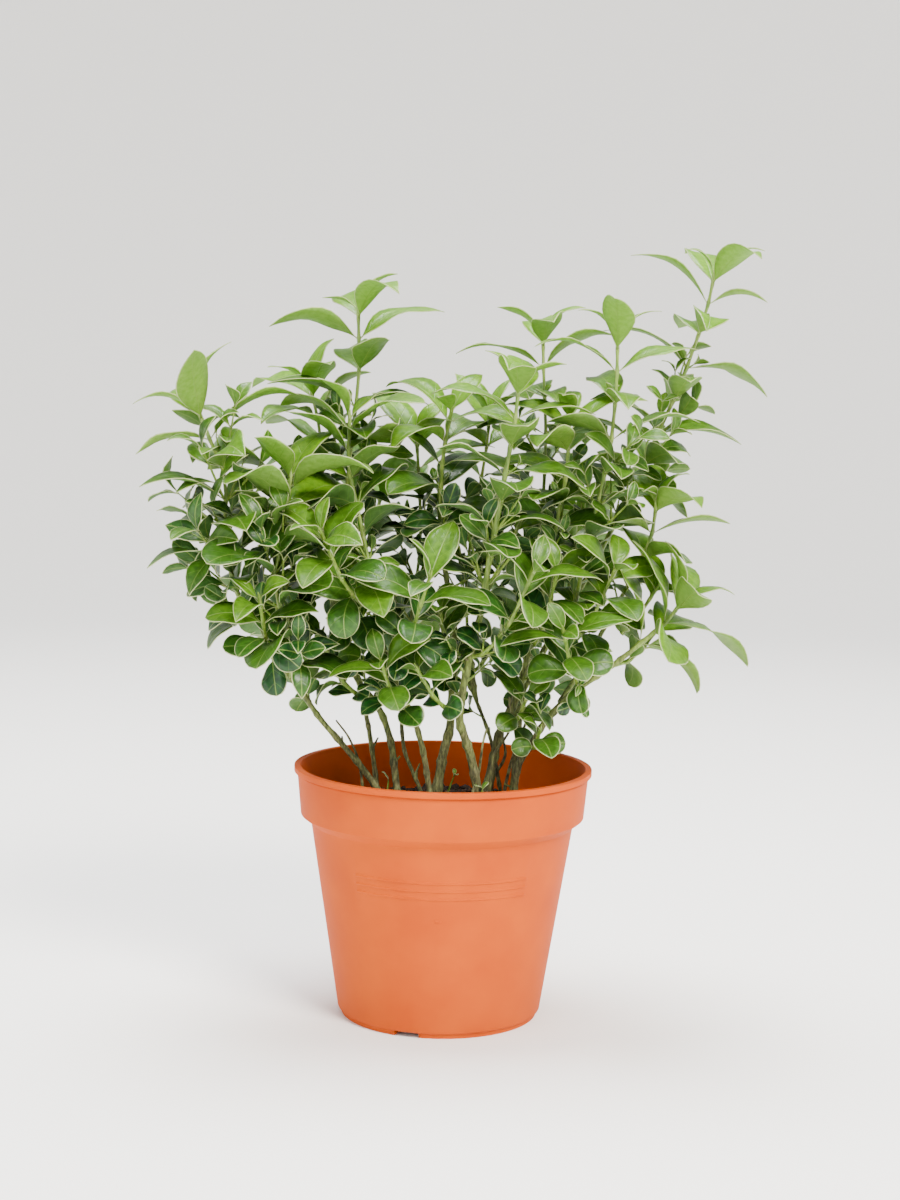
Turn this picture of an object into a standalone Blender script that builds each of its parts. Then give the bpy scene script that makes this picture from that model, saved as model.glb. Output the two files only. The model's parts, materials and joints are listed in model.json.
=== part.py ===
"""Potted serissa: a round moulded nursery pot, its potting mix, woody canes and leafy shoots.

The origin is the centre of the pot's flat base, +Z is up and -Y is the front of the plant.
Sizes are named in metres. Stem routes are points chosen by hand, in millimetres, with heights
measured from the pot's rim.
"""

import math
import random

import bmesh
import bpy
from mathutils import Matrix, Vector
from mathutils.bvhtree import BVHTree

MM = 0.001
GAP = 0.3 * MM  # clearance left between pieces that touch

# Pot
POT_HEIGHT = 126.2 * MM
POT_SEGMENTS = 40
WALL = 1.6 * MM
FLOOR = 2.0 * MM
FLOOR_ROUND = 3.5 * MM  # slope between the floor and the wall, inside
LIP_RADIUS = 75.0 * MM
LIP_HEIGHT = 2.8 * MM
LIP_PROUD = 1.7 * MM  # how far the lip bead stands out from the rim band
LIP_ROUND = 0.7 * MM
BAND_HEIGHT = 21.6 * MM  # rim band, from the lip down to the shoulder
BAND_TAPER = 1.9 * MM
SHOULDER_HEIGHT = 4.4 * MM
SHOULDER_STEP = 5.3 * MM
BODY_FOOT_RADIUS = 51.4 * MM
FOOT_HEIGHT = 2.0 * MM
FOOT_INSET = 1.8 * MM
FOOT_CHAMFER = 1.2 * MM
RIB_DROPS = (17.2 * MM, 21.2 * MM, 25.2 * MM)  # below the shoulder, on the front
RIB_WIDTH = 1.1 * MM
RIB_PROUD = 0.35 * MM
RIB_STEPS = 9  # pot segments that the ribs run across
DRAIN_WIDTH = 12.5 * MM
DRAIN_HEIGHT = 2.6 * MM
DRAIN_REACH = 9.0 * MM  # inwards from the foot
DRAIN_COUNT = 3
DRAIN_TURN = math.radians(-18.0)  # of the first drain slot, from the front

# Potting mix
SOIL_BELOW_RIM = 27.0 * MM
SOIL_MOUND = 10.5 * MM
SOIL_RINGS = 5

# Canes
ROOT_DEPTH = 15.0 * MM
ROOT_UPRIGHT = 0.7  # how far a cane straightens up where it enters the mix
CANE_STEP = 11.0 * MM

# Green stems
SHOOT_STEP = 2.0 * MM
SHOOT_START = 2.5 * MM  # straight run out of the cane before a side stem bends up
SHOOT_END_RADIUS = 0.8 * MM
SIDE_SHOOT_RADIUS = 1.15 * MM
FORKED_SHOOT_RADIUS = 1.3 * MM
SQUARE = 0.75  # half the width of a four-angled stem over its radius
NODE_BAND = 1.8 * MM  # length of stem that a leaf pair grows from
LONGEST_SEGMENT = 26.0 * MM
FIRST_INTERNODE = 5.0 * MM
INTERNODE_GROWTH = 5.5 * MM
LONGEST_INTERNODE = 1.25  # over the average one
LOWEST_PAIR = 4.0 * MM  # above the stem's foot

# Leaves
TIP_LEAF_SHARE = 0.58  # length of the newest leaves, still upright around the bud
LEAF_VARIES = 0.1  # how much longer or shorter a leaf may be
LOWER_ROUNDER = 0.5  # how much wider for their length the lowest leaves are
ROUNDEST_LEAF = 0.72  # width over length
WIDEST_AT = 0.52  # share of the leaf's length
LEAF_THICKNESS = 0.6 * MM
LEAF_LIFTS = (64, 46, 40, 34)  # degrees above square to the stem, by pair from the tip
LIFT_VARIES = 9
LEAF_ARCH = (28, 52)  # degrees that the outer half of a leaf bends down
BASE_ARCH = 0.25  # share of the arch already in the inner half
LEAF_SWING = 14
LEAF_ROLL = 22

# Room around the leaves: each try turns a leaf further and makes it a little smaller.
LEAF_CLEARANCE = 0.5 * MM
LEAF_BELOW_RIM = 12.5 * MM  # the lowest that a leaf hangs
LEAF_TRIES = 32
TRY_SWING = 3.5
TRY_TILT = 50
TRY_ROLL = 1.5
TRY_SHRINK = 0.38
SHOOT_TRIES = 40
SHOOT_TRY_TURN = 9
SHOOT_TRY_SHRINK = 0.4

# Woody canes: route from the mix upwards, then foot and end radius.
CANES = {
    "cane_left": ([(-29, -2), (-45, -6, 4), (-61, -10, 23), (-72, -13, 39), (-84, -16, 55),
                   (-91, -18, 70)], 2.0, 1.2),
    "cane_left_inner": ([(-23, 5), (-27, 6, 11), (-34, 8, 28), (-44, 10, 41), (-53, 12, 66),
                         (-55, 10, 98)], 2.3, 1.2),
    "cane_left_back": ([(-33, 13), (-37, 14, 7), (-41, 19, 26), (-49, 27, 52), (-60, 34, 82),
                        (-63, 36, 108)], 1.5, 1.0),
    "cane_front_left": ([(-6, -9), (-10, -11, 8), (-14, -14, 23), (-21, -17, 39), (-31, -19, 64),
                         (-37, -18, 96)], 1.8, 1.1),
    "cane_thin_back": ([(-11, 11), (-20, 17, 4), (-22, 21, 19), (-21, 28, 44), (-17, 33, 80)],
                       1.2, 0.9),
    "cane_centre": ([(-3, 1), (0, 2, 6), (3, 4, 18), (4, 8, 43), (5, 12, 62), (1, 14, 86),
                     (-3, 13, 110)], 3.1, 1.4),
    "cane_main": ([(19, -13), (13, -18, 10), (8, -22, 25), (9, -26, 42), (13, -29, 63),
                   (17, -31, 81)], 2.9, 1.7),
    "cane_twig": ([(30, 18), (24, 16, 11), (14, 20, 38), (11, 27, 66)], 1.2, 0.9),
    "cane_right": ([(22, 5), (25, 6, 0), (28, 6, 15), (35, 5, 30), (39, 4, 44), (42, 1, 60),
                    (46, -2, 81), (50, -4, 100)], 3.0, 1.2),
    "cane_right_back": ([(36, 13), (37, 16, 3), (40, 24, 28), (43, 31, 54), (46, 32, 86)],
                        1.9, 1.1),
    "cane_low_right": ([(35, -6), (38, -8, 3), (45, -10, 15), (49, -12, 23), (56, -14, 32),
                        (64, -16, 41), (79, -19, 52), (93, -22, 64)], 2.4, 1.3),
}

# Branch canes: the cane each leaves, the height where it does, its route, and its radii.
BRANCHES = {
    "branch_tall_right": ("cane_right", 37, [(47, 12, 52), (55, 14, 67), (64, 13, 83),
                                             (74, 9, 102)], 1.8, 1.3),
    "branch_right": ("cane_right", 24, [(42, -4, 37), (51, -8, 54), (58, -9, 67),
                                        (63, -9, 78)], 1.7, 1.3),
    "branch_low_right": ("cane_low_right", 34, [(64, -6, 44), (74, -5, 62), (86, -4, 85)],
                         1.5, 1.2),
}


def leaves(length, width=0.38, lower=0.66, newest=TIP_LEAF_SHARE):
    """Leaf sizes of a shoot: the longest leaf, its width over its length, and the lowest and
    the newest leaf's length over the longest."""
    return {"length": length, "width": width, "lower": lower, "newest": newest}


# Leafy shoots on the end of a cane or branch, or leaving one at a height:
# parent, height or None for its end, route, leaf pairs, turn of the top pair in degrees, sizes.
SHOOTS = {
    "shoot_left": ("cane_left", None, [(-101, -20, 84), (-107, -22, 101), (-109, -24, 121),
                                       (-108, -26, 142), (-115, -28, 160), (-123, -28, 179)],
                   9, 10, leaves(40, 0.38, newest=0.66)),
    "shoot_left_curved": ("cane_left", 46, [(-73, -27, 64), (-80, -31, 80), (-84, -33, 94),
                                             (-81, -35, 108), (-78, -35, 125), (-76, -34, 147)],
                          8, 60, leaves(37, 0.52, 0.78, newest=0.95)),
    "shoot_left_back": ("cane_left_back", None, [(-65, 32, 136), (-66, 28, 164), (-72, 26, 191)],
                        7, 35, leaves(34, 0.42)),
    "shoot_tall_left": ("cane_left_inner", None, [(-52, 7, 126), (-49, 7, 163), (-46, 8, 195),
                                                  (-47, 9, 231)], 9, 15, leaves(37)),
    "shoot_front_left": ("cane_front_left", None, [(-43, -17, 124), (-49, -16, 150), (-49, -15, 176)],
                         7, 50, leaves(34, 0.5)),
    "shoot_thin_back": ("cane_thin_back", None, [(-14, 32, 110), (-15, 27, 138), (-17, 22, 166)],
                        7, 20, leaves(34)),
    "shoot_centre": ("cane_centre", None, [(-4, 8, 132), (-3, 2, 156), (1, -3, 180)],
                     7, 60, leaves(34, 0.46)),
    "shoot_main": ("cane_main", None, [(19, -32, 96), (22, -33, 117), (25, -34, 134),
                                       (28, -34, 154), (31, -34, 172), (33, -32, 193)],
                   10, 5, leaves(34, 0.42)),
    "shoot_twig": ("cane_twig", None, [(10, 30, 94), (14, 32, 126), (19, 31, 160), (20, 29, 178)],
                   8, 40, leaves(33)),
    "shoot_right": ("cane_right", None, [(54, -7, 124), (58, -9, 149), (59, -9, 177)],
                    7, 75, leaves(33, 0.42)),
    "shoot_right_back": ("cane_right_back", None, [(48, 30, 120), (49, 25, 164), (47, 22, 196),
                                                   (46, 20, 219)], 9, 0, leaves(34)),
    "shoot_upright": ("branch_right", None, [(67, -11, 102), (71, -13, 122), (75, -14, 142),
                                             (79, -15, 164), (81, -15, 192), (81, -14, 217)],
                      10, 8, leaves(35)),
    "shoot_tall_right": ("branch_tall_right", None, [(81, 9, 117), (90, 11, 136), (99, 13, 155),
                                                     (107, 14, 174), (115, 16, 192),
                                                     (122, 18, 212), (128, 19, 231),
                                                     (132, 20, 252)], 11, 12,
                         leaves(37, newest=0.72)),
    "shoot_low_branch": ("branch_low_right", None, [(94, -6, 101), (101, -8, 119), (103, -9, 138)],
                         5, 25, leaves(34, 0.46)),
    "shoot_low_right": ("cane_low_right", None, [(108, -25, 78), (116, -27, 90)],
                        5, 0, leaves(41, 0.42, 0.8)),
}

# Short side shoots that fill the bush: height on the cane, heading in degrees (0 is +X, 90 is the
# back), reach sideways, rise, leaf pairs.
SIDE_SHOOTS = {
    "cane_left": [(32, 100, 22, 30, 5), (56, 262, 32, 34, 6), (64, 75, 44, 46, 6)],
    "cane_left_inner": [(34, 215, 26, 34, 5), (58, 285, 40, 42, 6), (82, 110, 40, 60, 7)],
    "cane_left_back": [(42, 165, 42, 36, 6), (79, 60, 44, 56, 6)],
    "cane_front_left": [(32, 245, 28, 28, 5), (56, 300, 38, 46, 6), (80, 235, 42, 42, 6)],
    "cane_thin_back": [(34, 95, 48, 36, 6), (62, 140, 46, 60, 7)],
    "cane_centre": [(44, 255, 22, 36, 5), (72, 20, 32, 52, 6)],
    "cane_main": [(32, 215, 22, 24, 4), (60, 320, 34, 46, 6)],
    "cane_twig": [(44, 60, 48, 46, 6)],
    "cane_right": [(20, 300, 18, 20, 4), (62, 285, 38, 42, 6), (86, 70, 34, 54, 6)],
    "cane_right_back": [(24, 55, 42, 32, 6), (64, 85, 50, 52, 7)],
    "cane_low_right": [(12, 285, 14, 14, 3), (44, 250, 32, 32, 5), (56, 30, 26, 22, 4)],
    "branch_tall_right": [(74, 80, 46, 46, 6)],
    "branch_right": [(64, 320, 30, 42, 6)],
    "branch_low_right": [(66, 345, 26, 30, 4)],
}
SIDE_LEAVES = leaves(28.0, 0.54, 0.66)


def clear_scene():
    for obj in list(bpy.data.objects):
        bpy.data.objects.remove(obj, do_unlink=True)


def new_collection(name):
    collection = bpy.data.collections.new(name)
    bpy.context.scene.collection.children.link(collection)
    return collection


def principled(name, colour, roughness):
    material = bpy.data.materials.new(name)
    material.use_nodes = True
    shader = material.node_tree.nodes["Principled BSDF"]
    shader.inputs["Base Color"].default_value = (*colour, 1.0)
    shader.inputs["Roughness"].default_value = roughness
    shader.inputs["Metallic"].default_value = 0.0
    return material


def add_object(name, data, material, collection):
    obj = bpy.data.objects.new(name, data)
    if material:
        data.materials.append(material)
    collection.objects.link(obj)
    return obj


def as_cutter(obj):
    obj.hide_render = True
    obj.display_type = "WIRE"


def mesh_from(bm, name, smooth=False):
    bmesh.ops.recalc_face_normals(bm, faces=bm.faces[:])
    mesh = bpy.data.meshes.new(name)
    bm.to_mesh(mesh)
    bm.free()
    if smooth:
        mesh.shade_smooth()
        mesh.set_sharp_from_angle(angle=math.radians(35))
    return mesh


# ---------------------------------------------------------------- turned pieces

LIP_FOOT = POT_HEIGHT - LIP_HEIGHT
BAND_TOP_RADIUS = LIP_RADIUS - LIP_PROUD
BAND_FOOT = LIP_FOOT - BAND_HEIGHT
BAND_FOOT_RADIUS = BAND_TOP_RADIUS - BAND_TAPER
BODY_TOP = BAND_FOOT - SHOULDER_HEIGHT
BODY_TOP_RADIUS = BAND_FOOT_RADIUS - SHOULDER_STEP
FOOT_RADIUS = BODY_FOOT_RADIUS - FOOT_INSET

# Outside of the pot from the rim band down to the foot, as (radius, height).
POT_SIDE = [
    (BAND_TOP_RADIUS, LIP_FOOT),
    (BAND_FOOT_RADIUS, BAND_FOOT),
    (BODY_TOP_RADIUS, BODY_TOP),
    (BODY_FOOT_RADIUS, FOOT_HEIGHT + FOOT_CHAMFER),
]


def side_radius(height):
    """Radius of the pot's outside at a height."""
    for (r0, z0), (r1, z1) in zip(POT_SIDE, POT_SIDE[1:]):
        if height >= z1:
            return r1 + (r0 - r1) * (height - z1) / (z0 - z1)
    return BODY_FOOT_RADIUS


def floor_corner(inset, floor):
    """Ends of the slope between a floor and a wall set in from the pot's outside."""
    radius = side_radius(floor + FLOOR_ROUND) - inset
    return [(radius - FLOOR_ROUND, floor), (radius, floor + FLOOR_ROUND)]


def turned(name, outline, material, collection):
    """A closed body of revolution from a profile that runs down its outer side."""
    mesh = bpy.data.meshes.new(name)
    edges = [(i, i + 1) for i in range(len(outline) - 1)]
    mesh.from_pydata([(r, 0.0, z) for r, z in outline], edges, [])
    obj = add_object(name, mesh, material, collection)
    screw = obj.modifiers.new("Turn", "SCREW")
    screw.axis = "Z"
    screw.steps = POT_SEGMENTS
    screw.render_steps = POT_SEGMENTS
    screw.use_merge_vertices = True
    screw.merge_threshold = 0.00001
    screw.use_smooth_shade = True
    return obj


def boolean(obj, operation, cutters):
    modifier = obj.modifiers.new(cutters.name, "BOOLEAN")
    modifier.operation = operation
    modifier.solver = "EXACT"
    modifier.operand_type = "COLLECTION"
    modifier.collection = cutters


def make_pot(material, parts, ribs, drains):
    """Thin polypropylene wall with a lip bead, a rim band, a shoulder and an inset foot."""
    inner = [(r - WALL, z) for r, z in POT_SIDE]
    outline = [
        (0.0, FLOOR),
        *floor_corner(WALL, FLOOR),
        inner[2],
        inner[1],
        (inner[0][0], POT_HEIGHT - LIP_ROUND),
        (inner[0][0] + LIP_ROUND, POT_HEIGHT),
        (LIP_RADIUS - LIP_ROUND, POT_HEIGHT),
        (LIP_RADIUS, POT_HEIGHT - LIP_ROUND),
        (LIP_RADIUS, LIP_FOOT + LIP_ROUND),
        (LIP_RADIUS - LIP_ROUND, LIP_FOOT),
        *POT_SIDE,
        (FOOT_RADIUS + 0.5 * FOOT_INSET, FOOT_HEIGHT),
        (FOOT_RADIUS, FOOT_HEIGHT),
        (FOOT_RADIUS, 0.0),
        (0.0, 0.0),
    ]
    pot = turned("pot", outline, material, parts)
    boolean(pot, "UNION", ribs)
    boolean(pot, "DIFFERENCE", drains)
    return pot


def make_ribs(collection):
    """Three faint moulded lines across the front, below the shoulder."""
    turn = 2.0 * math.pi / POT_SEGMENTS
    start = math.radians(-90.0) - 0.5 * RIB_STEPS * turn
    start = round(start / turn) * turn
    for number, drop in enumerate(RIB_DROPS, 1):
        height = BODY_TOP - drop
        section = [
            (-WALL / 2, -RIB_WIDTH / 2),
            (RIB_PROUD, -RIB_WIDTH / 4),
            (RIB_PROUD, RIB_WIDTH / 4),
            (-WALL / 2, RIB_WIDTH / 2),
        ]
        bm = bmesh.new()
        turned_in = Matrix.Rotation(start, 3, "Z")
        corners = [
            bm.verts.new(turned_in @ Vector((side_radius(height + dz) + dr, 0.0, height + dz)))
            for dr, dz in section
        ]
        face = bm.faces.new(corners)
        bmesh.ops.spin(
            bm,
            geom=[face, *face.edges, *face.verts],
            axis=(0, 0, 1),
            angle=RIB_STEPS * turn,
            steps=RIB_STEPS,
            use_duplicate=False,
        )
        as_cutter(add_object(f"rib_{number}", mesh_from(bm, f"rib_{number}"), None, collection))


def make_drains(collection):
    """Cutters for the drain slots through the corner of the foot."""
    for number in range(DRAIN_COUNT):
        bm = bmesh.new()
        bmesh.ops.create_cube(bm, size=1.0)
        outer = BODY_FOOT_RADIUS + 4 * WALL
        inner = FOOT_RADIUS - DRAIN_REACH
        bmesh.ops.scale(
            bm, vec=(DRAIN_WIDTH, outer - inner, 2 * DRAIN_HEIGHT), verts=bm.verts[:]
        )
        bmesh.ops.translate(bm, vec=(0.0, -(outer + inner) / 2, 0.0), verts=bm.verts[:])
        turn = DRAIN_TURN + number * 2.0 * math.pi / DRAIN_COUNT
        bmesh.ops.rotate(bm, matrix=Matrix.Rotation(turn, 3, "Z"), verts=bm.verts[:])
        name = f"drain_{number + 1}"
        as_cutter(add_object(name, mesh_from(bm, name), None, collection))


SOIL_EDGE = POT_HEIGHT - SOIL_BELOW_RIM
SOIL_EDGE_RADIUS = side_radius(SOIL_EDGE) - WALL - 1.5 * GAP


def soil_height(x, y):
    """Height of the mix's mounded surface."""
    share = min(1.0, (x * x + y * y) / SOIL_EDGE_RADIUS**2)
    return SOIL_EDGE + SOIL_MOUND * (1.0 - share)


def make_soil(material, parts, sockets):
    """Potting mix that fills the pot to a low mound, with a socket around each cane's foot."""
    outline = []
    for ring in range(SOIL_RINGS):
        radius = SOIL_EDGE_RADIUS * ring / SOIL_RINGS
        outline.append((radius, soil_height(radius, 0.0)))
    outline.append((SOIL_EDGE_RADIUS, SOIL_EDGE))
    fit = WALL + 1.5 * GAP
    for radius, height in POT_SIDE[1:3]:
        if height < SOIL_EDGE:
            outline.append((radius - fit, height))
    outline += floor_corner(fit, FLOOR + GAP)[::-1]
    outline.append((0.0, FLOOR + GAP))
    soil = turned("potting_mix", outline, material, parts)
    boolean(soil, "DIFFERENCE", sockets)
    return soil


# ---------------------------------------------------------------- stems


def smooth_route(points, step):
    """Points about one step apart on a smooth curve through the given points."""
    ends = [2 * points[0] - points[1], *points, 2 * points[-1] - points[-2]]
    path = []
    for a, b, c, d in zip(ends, ends[1:], ends[2:], ends[3:]):
        pieces = max(1, round((c - b).length / step))
        for i in range(pieces):
            t = i / pieces
            path.append(
                0.5
                * (
                    2 * b
                    + (c - a) * t
                    + (2 * a - 5 * b + 4 * c - d) * t**2
                    + (3 * b - a - 3 * c + d) * t**3
                )
            )
    path.append(points[-1].copy())
    return path


class Stem:
    """A stem's centre line with its radius: where other stems find their own start."""

    def __init__(self, path, foot_radius, end_radius):
        self.path = path
        self.along = [0.0]
        for a, b in zip(path, path[1:]):
            self.along.append(self.along[-1] + (b - a).length)
        self.length = self.along[-1]
        self.radii = foot_radius, end_radius

    def at(self, distance):
        """Position, direction and radius at a distance along the stem."""
        distance = min(max(distance, 0.0), self.length)
        i = 0
        while i < len(self.path) - 2 and self.along[i + 1] < distance:
            i += 1
        a, b = self.path[i], self.path[i + 1]
        t = (distance - self.along[i]) / (self.along[i + 1] - self.along[i])
        before = self.path[max(i - 1, 0)]
        after = self.path[min(i + 2, len(self.path) - 1)]
        direction = ((b - before) * (1 - t) + (after - a) * t).normalized()
        share = distance / self.length
        radius = self.radii[0] + (self.radii[1] - self.radii[0]) * share
        return a.lerp(b, t), direction, radius

    def at_height(self, height):
        for distance, a, b in zip(self.along, self.path, self.path[1:]):
            if a.z <= height <= b.z:
                return distance + (b - a).length * (height - a.z) / max(b.z - a.z, 1e-9)
        return self.length


def above_rim(height):
    """World height of a height in millimetres above the pot's rim."""
    return POT_HEIGHT + height * MM


def in_metres(points):
    return [Vector((x * MM, y * MM, above_rim(z))) for x, y, z in points]


def rooted_path(route):
    """A cane's path, from its foot in the mix; the route's first point has no height."""
    x, y = route[0][0] * MM, route[0][1] * MM
    collar = Vector((x, y, soil_height(x, y)))
    rest = in_metres(route[1:])
    lean = (rest[0] - collar).normalized().lerp(Vector((0, 0, 1)), ROOT_UPRIGHT).normalized()
    return smooth_route([collar - lean * ROOT_DEPTH, collar, *rest], CANE_STEP)


def side_start(parent, distance, towards):
    """Start of a side stem, just clear of its parent, and the direction it leaves in."""
    centre, direction, radius = parent.at(distance)
    out = towards - centre
    out = (out - direction * out.dot(direction)).normalized()
    return centre + out * (radius + GAP), out


def curve_tube(name, stem, collection, material=None, swell=0.0):
    """A round tapered tube along a stem, as a poly curve with filled caps."""
    curve = bpy.data.curves.new(name, "CURVE")
    curve.dimensions = "3D"
    curve.bevel_depth = 1.0
    curve.bevel_resolution = 1
    curve.use_fill_caps = True
    spline = curve.splines.new("POLY")
    spline.points.add(len(stem.path) - 1)
    for point, centre, distance in zip(spline.points, stem.path, stem.along):
        point.co = (*centre, 1.0)
        point.radius = stem.at(distance)[2] + swell
    return add_object(name, curve, material, collection)


def mesh_of_curve(obj, collection):
    """The curve object as a closed mesh object that can cut, in place of the curve."""
    graph = bpy.context.evaluated_depsgraph_get()
    mesh = bpy.data.meshes.new_from_object(obj.evaluated_get(graph))
    bm = bmesh.new()
    bm.from_mesh(mesh)
    bmesh.ops.remove_doubles(bm, verts=bm.verts[:], dist=0.00001)
    bmesh.ops.recalc_face_normals(bm, faces=bm.faces[:])
    bm.to_mesh(mesh)
    bm.free()
    name, place = obj.name, obj.matrix_world.copy()
    bpy.data.objects.remove(obj)
    made = add_object(name, mesh, None, collection)
    made.matrix_world = place
    return made


# ---------------------------------------------------------------- clearances


class Obstacles:
    """What is already in place, so that new leaves and shoots are laid clear of it."""

    def __init__(self):
        self.items = []

    def add(self, owner, points, faces):
        low = Vector(map(min, zip(*points)))
        high = Vector(map(max, zip(*points)))
        self.items.append((owner, low, high, BVHTree.FromPolygons(points, faces)))

    def add_mesh(self, owner, mesh):
        self.add(owner, [v.co.copy() for v in mesh.vertices], [p.vertices[:] for p in mesh.polygons])

    def hit(self, points, faces, leave_out=()):
        low = Vector(map(min, zip(*points)))
        high = Vector(map(max, zip(*points)))
        tree = None
        for owner, other_low, other_high, other in self.items:
            if owner in leave_out:
                continue
            if any(low[i] > other_high[i] or high[i] < other_low[i] for i in range(3)):
                continue
            tree = tree or BVHTree.FromPolygons(points, faces)
            if tree.overlap(other):
                return True
        return False


def loft_faces(rings, sides=4):
    """Faces of a closed loft between rings of as many points."""
    faces = []
    for ring in range(rings - 1):
        first = ring * sides
        for i in range(sides):
            j = (i + 1) % sides
            faces.append((first + i, first + j, first + sides + j, first + sides + i))
    faces.append(tuple(range(sides)))
    faces.append(tuple(range((rings - 1) * sides, rings * sides)))
    return faces


# ---------------------------------------------------------------- leafy shoots


class Shoot:
    """A four-angled green stem with opposite leaf pairs, each pair square to the last."""

    def __init__(self, name, stem, pairs, turn, sizes, seed):
        self.name = name
        self.stem = stem
        self.sizes = sizes
        self.rng = random.Random(seed)
        self.nodes = self.place_nodes(pairs)
        self.set_frames(math.radians(turn))

    def place_nodes(self, pairs):
        """Distances of the leaf pairs along the stem, close together near the tip."""
        found = []
        distance = self.stem.length - FIRST_INTERNODE / 2
        internode = FIRST_INTERNODE
        average = (self.stem.length - LOWEST_PAIR) / pairs
        while len(found) < pairs and distance > LOWEST_PAIR:
            found.append(distance)
            distance -= internode
            internode = min(internode + INTERNODE_GROWTH, LONGEST_INTERNODE * average)
        return found[::-1]

    def set_frames(self, turn):
        """A frame at each station, carried down from the tip without twist."""
        stations = [0.0]
        for node in self.nodes:
            before = node - NODE_BAND / 2
            gap = before - stations[-1]
            extra = int(gap / LONGEST_SEGMENT)
            for i in range(extra):
                stations.append(stations[-1] + gap / (extra + 1))
            stations += [before, node + NODE_BAND / 2]
        stations.append(self.stem.length)
        self.stations = stations
        centre, direction, radius = self.stem.at(stations[-1])
        side = Vector((math.cos(turn), math.sin(turn), 0.0))
        side = (side - direction * side.dot(direction)).normalized()
        frames = [(centre, direction, side, radius)]
        for distance in stations[-2::-1]:
            centre, new_direction, radius = self.stem.at(distance)
            side = direction.rotation_difference(new_direction) @ side
            side = (side - new_direction * side.dot(new_direction)).normalized()
            direction = new_direction
            frames.append((centre, direction, side, radius))
        self.frames = frames[::-1]

    def ring(self, index, swell=0.0):
        """The four corners of the stem at a station."""
        centre, direction, side, radius = self.frames[index]
        other = direction.cross(side)
        half = (radius + swell) * SQUARE
        return [
            centre + half * (a * side + b * other)
            for a, b in ((1, -1), (1, 1), (-1, 1), (-1, -1))
        ]

    def hull(self, swell, skip=0.0):
        """Points and faces of the stem's outside, for clearance."""
        kept = [i for i, s in enumerate(self.stations) if s >= skip]
        points = [corner for i in kept for corner in self.ring(i, swell)]
        return points, loft_faces(len(kept))

    def build_stem(self):
        """Extrudes the stem from station to station and keeps each leaf pair's side faces."""
        bm = bmesh.new()
        bmesh.ops.create_cube(bm, size=1.0)
        bottom = min(bm.faces, key=lambda f: f.calc_center_median().z)
        cap = max(bm.faces, key=lambda f: f.calc_center_median().z)
        around = sorted(cap.verts, key=lambda v: math.atan2(v.co.y, v.co.x))
        below = sorted(bottom.verts, key=lambda v: math.atan2(v.co.y, v.co.x))
        # corners sorted from -135 degrees: turn the list to start at the (+side, -other) corner
        around = around[1:] + around[:1]
        below = below[1:] + below[:1]
        for vert, place in zip(below, self.ring(0)):
            vert.co = place
        for vert, place in zip(around, self.ring(1)):
            vert.co = place
        self.seats = {}
        for index in range(1, len(self.stations) - 1):
            made = bmesh.ops.extrude_discrete_faces(bm, faces=[cap])
            new_cap = made["faces"][0]
            above = []
            for vert in around:
                above.append(
                    next(e.other_vert(vert) for e in vert.link_edges if e.other_vert(vert) in new_cap.verts)
                )
            for vert, place in zip(above, self.ring(index + 1)):
                vert.co = place
            middle = (self.stations[index] + self.stations[index + 1]) / 2
            for number, node in enumerate(self.nodes):
                if abs(middle - node) < NODE_BAND / 2:
                    self.seats[number] = (index, [self.face_of(around, above, i) for i in range(4)])
            cap, around = new_cap, above
        tip = self.stem.at(self.stem.length)[0]
        bmesh.ops.pointmerge(bm, verts=around, merge_co=tip + self.frames[-1][1] * NODE_BAND)
        self.bm = bm

    @staticmethod
    def face_of(lower, upper, i):
        """The side face between two rings that starts at corner i."""
        j = (i + 1) % 4
        wanted = {lower[i], lower[j], upper[i], upper[j]}
        return next(f for f in lower[i].link_faces if set(f.verts) == wanted)

    def leaf_sizes(self, number):
        """Length and width of a leaf of a pair, counted from the shoot's tip."""
        from_tip = len(self.nodes) - 1 - number
        down = max(0, from_tip - 1) / max(len(self.nodes) - 2, 1)
        share = 1.0 - (1.0 - self.sizes["lower"]) * down
        if from_tip == 0:
            share = self.sizes["newest"]
        varied = self.rng.uniform(1 - LEAF_VARIES, 1 + LEAF_VARIES)
        length = self.sizes["length"] * MM * share * varied
        width = self.sizes["width"] * (1.0 + LOWER_ROUNDER * down)
        return length, length * min(width, ROUNDEST_LEAF)

    def leaf_lift(self, number):
        """Angle of a leaf above square to the stem, in radians: steep at the tip."""
        from_tip = len(self.nodes) - 1 - number
        lift = LEAF_LIFTS[min(from_tip, len(LEAF_LIFTS) - 1)]
        return math.radians(lift + self.rng.uniform(-LIFT_VARIES, LIFT_VARIES))

    def within(self, degrees):
        """A random angle up to so many degrees either way, in radians."""
        return math.radians(self.rng.uniform(-degrees, degrees))

    def grow_leaves(self, obstacles):
        count = 0
        for number in sorted(self.seats, reverse=True):
            index, faces = self.seats[number]
            first = (len(self.nodes) - 1 - number) % 2
            for which in (first, first + 2):
                count += self.grow_leaf(number, index, faces[which], which, obstacles)
        return count

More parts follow.
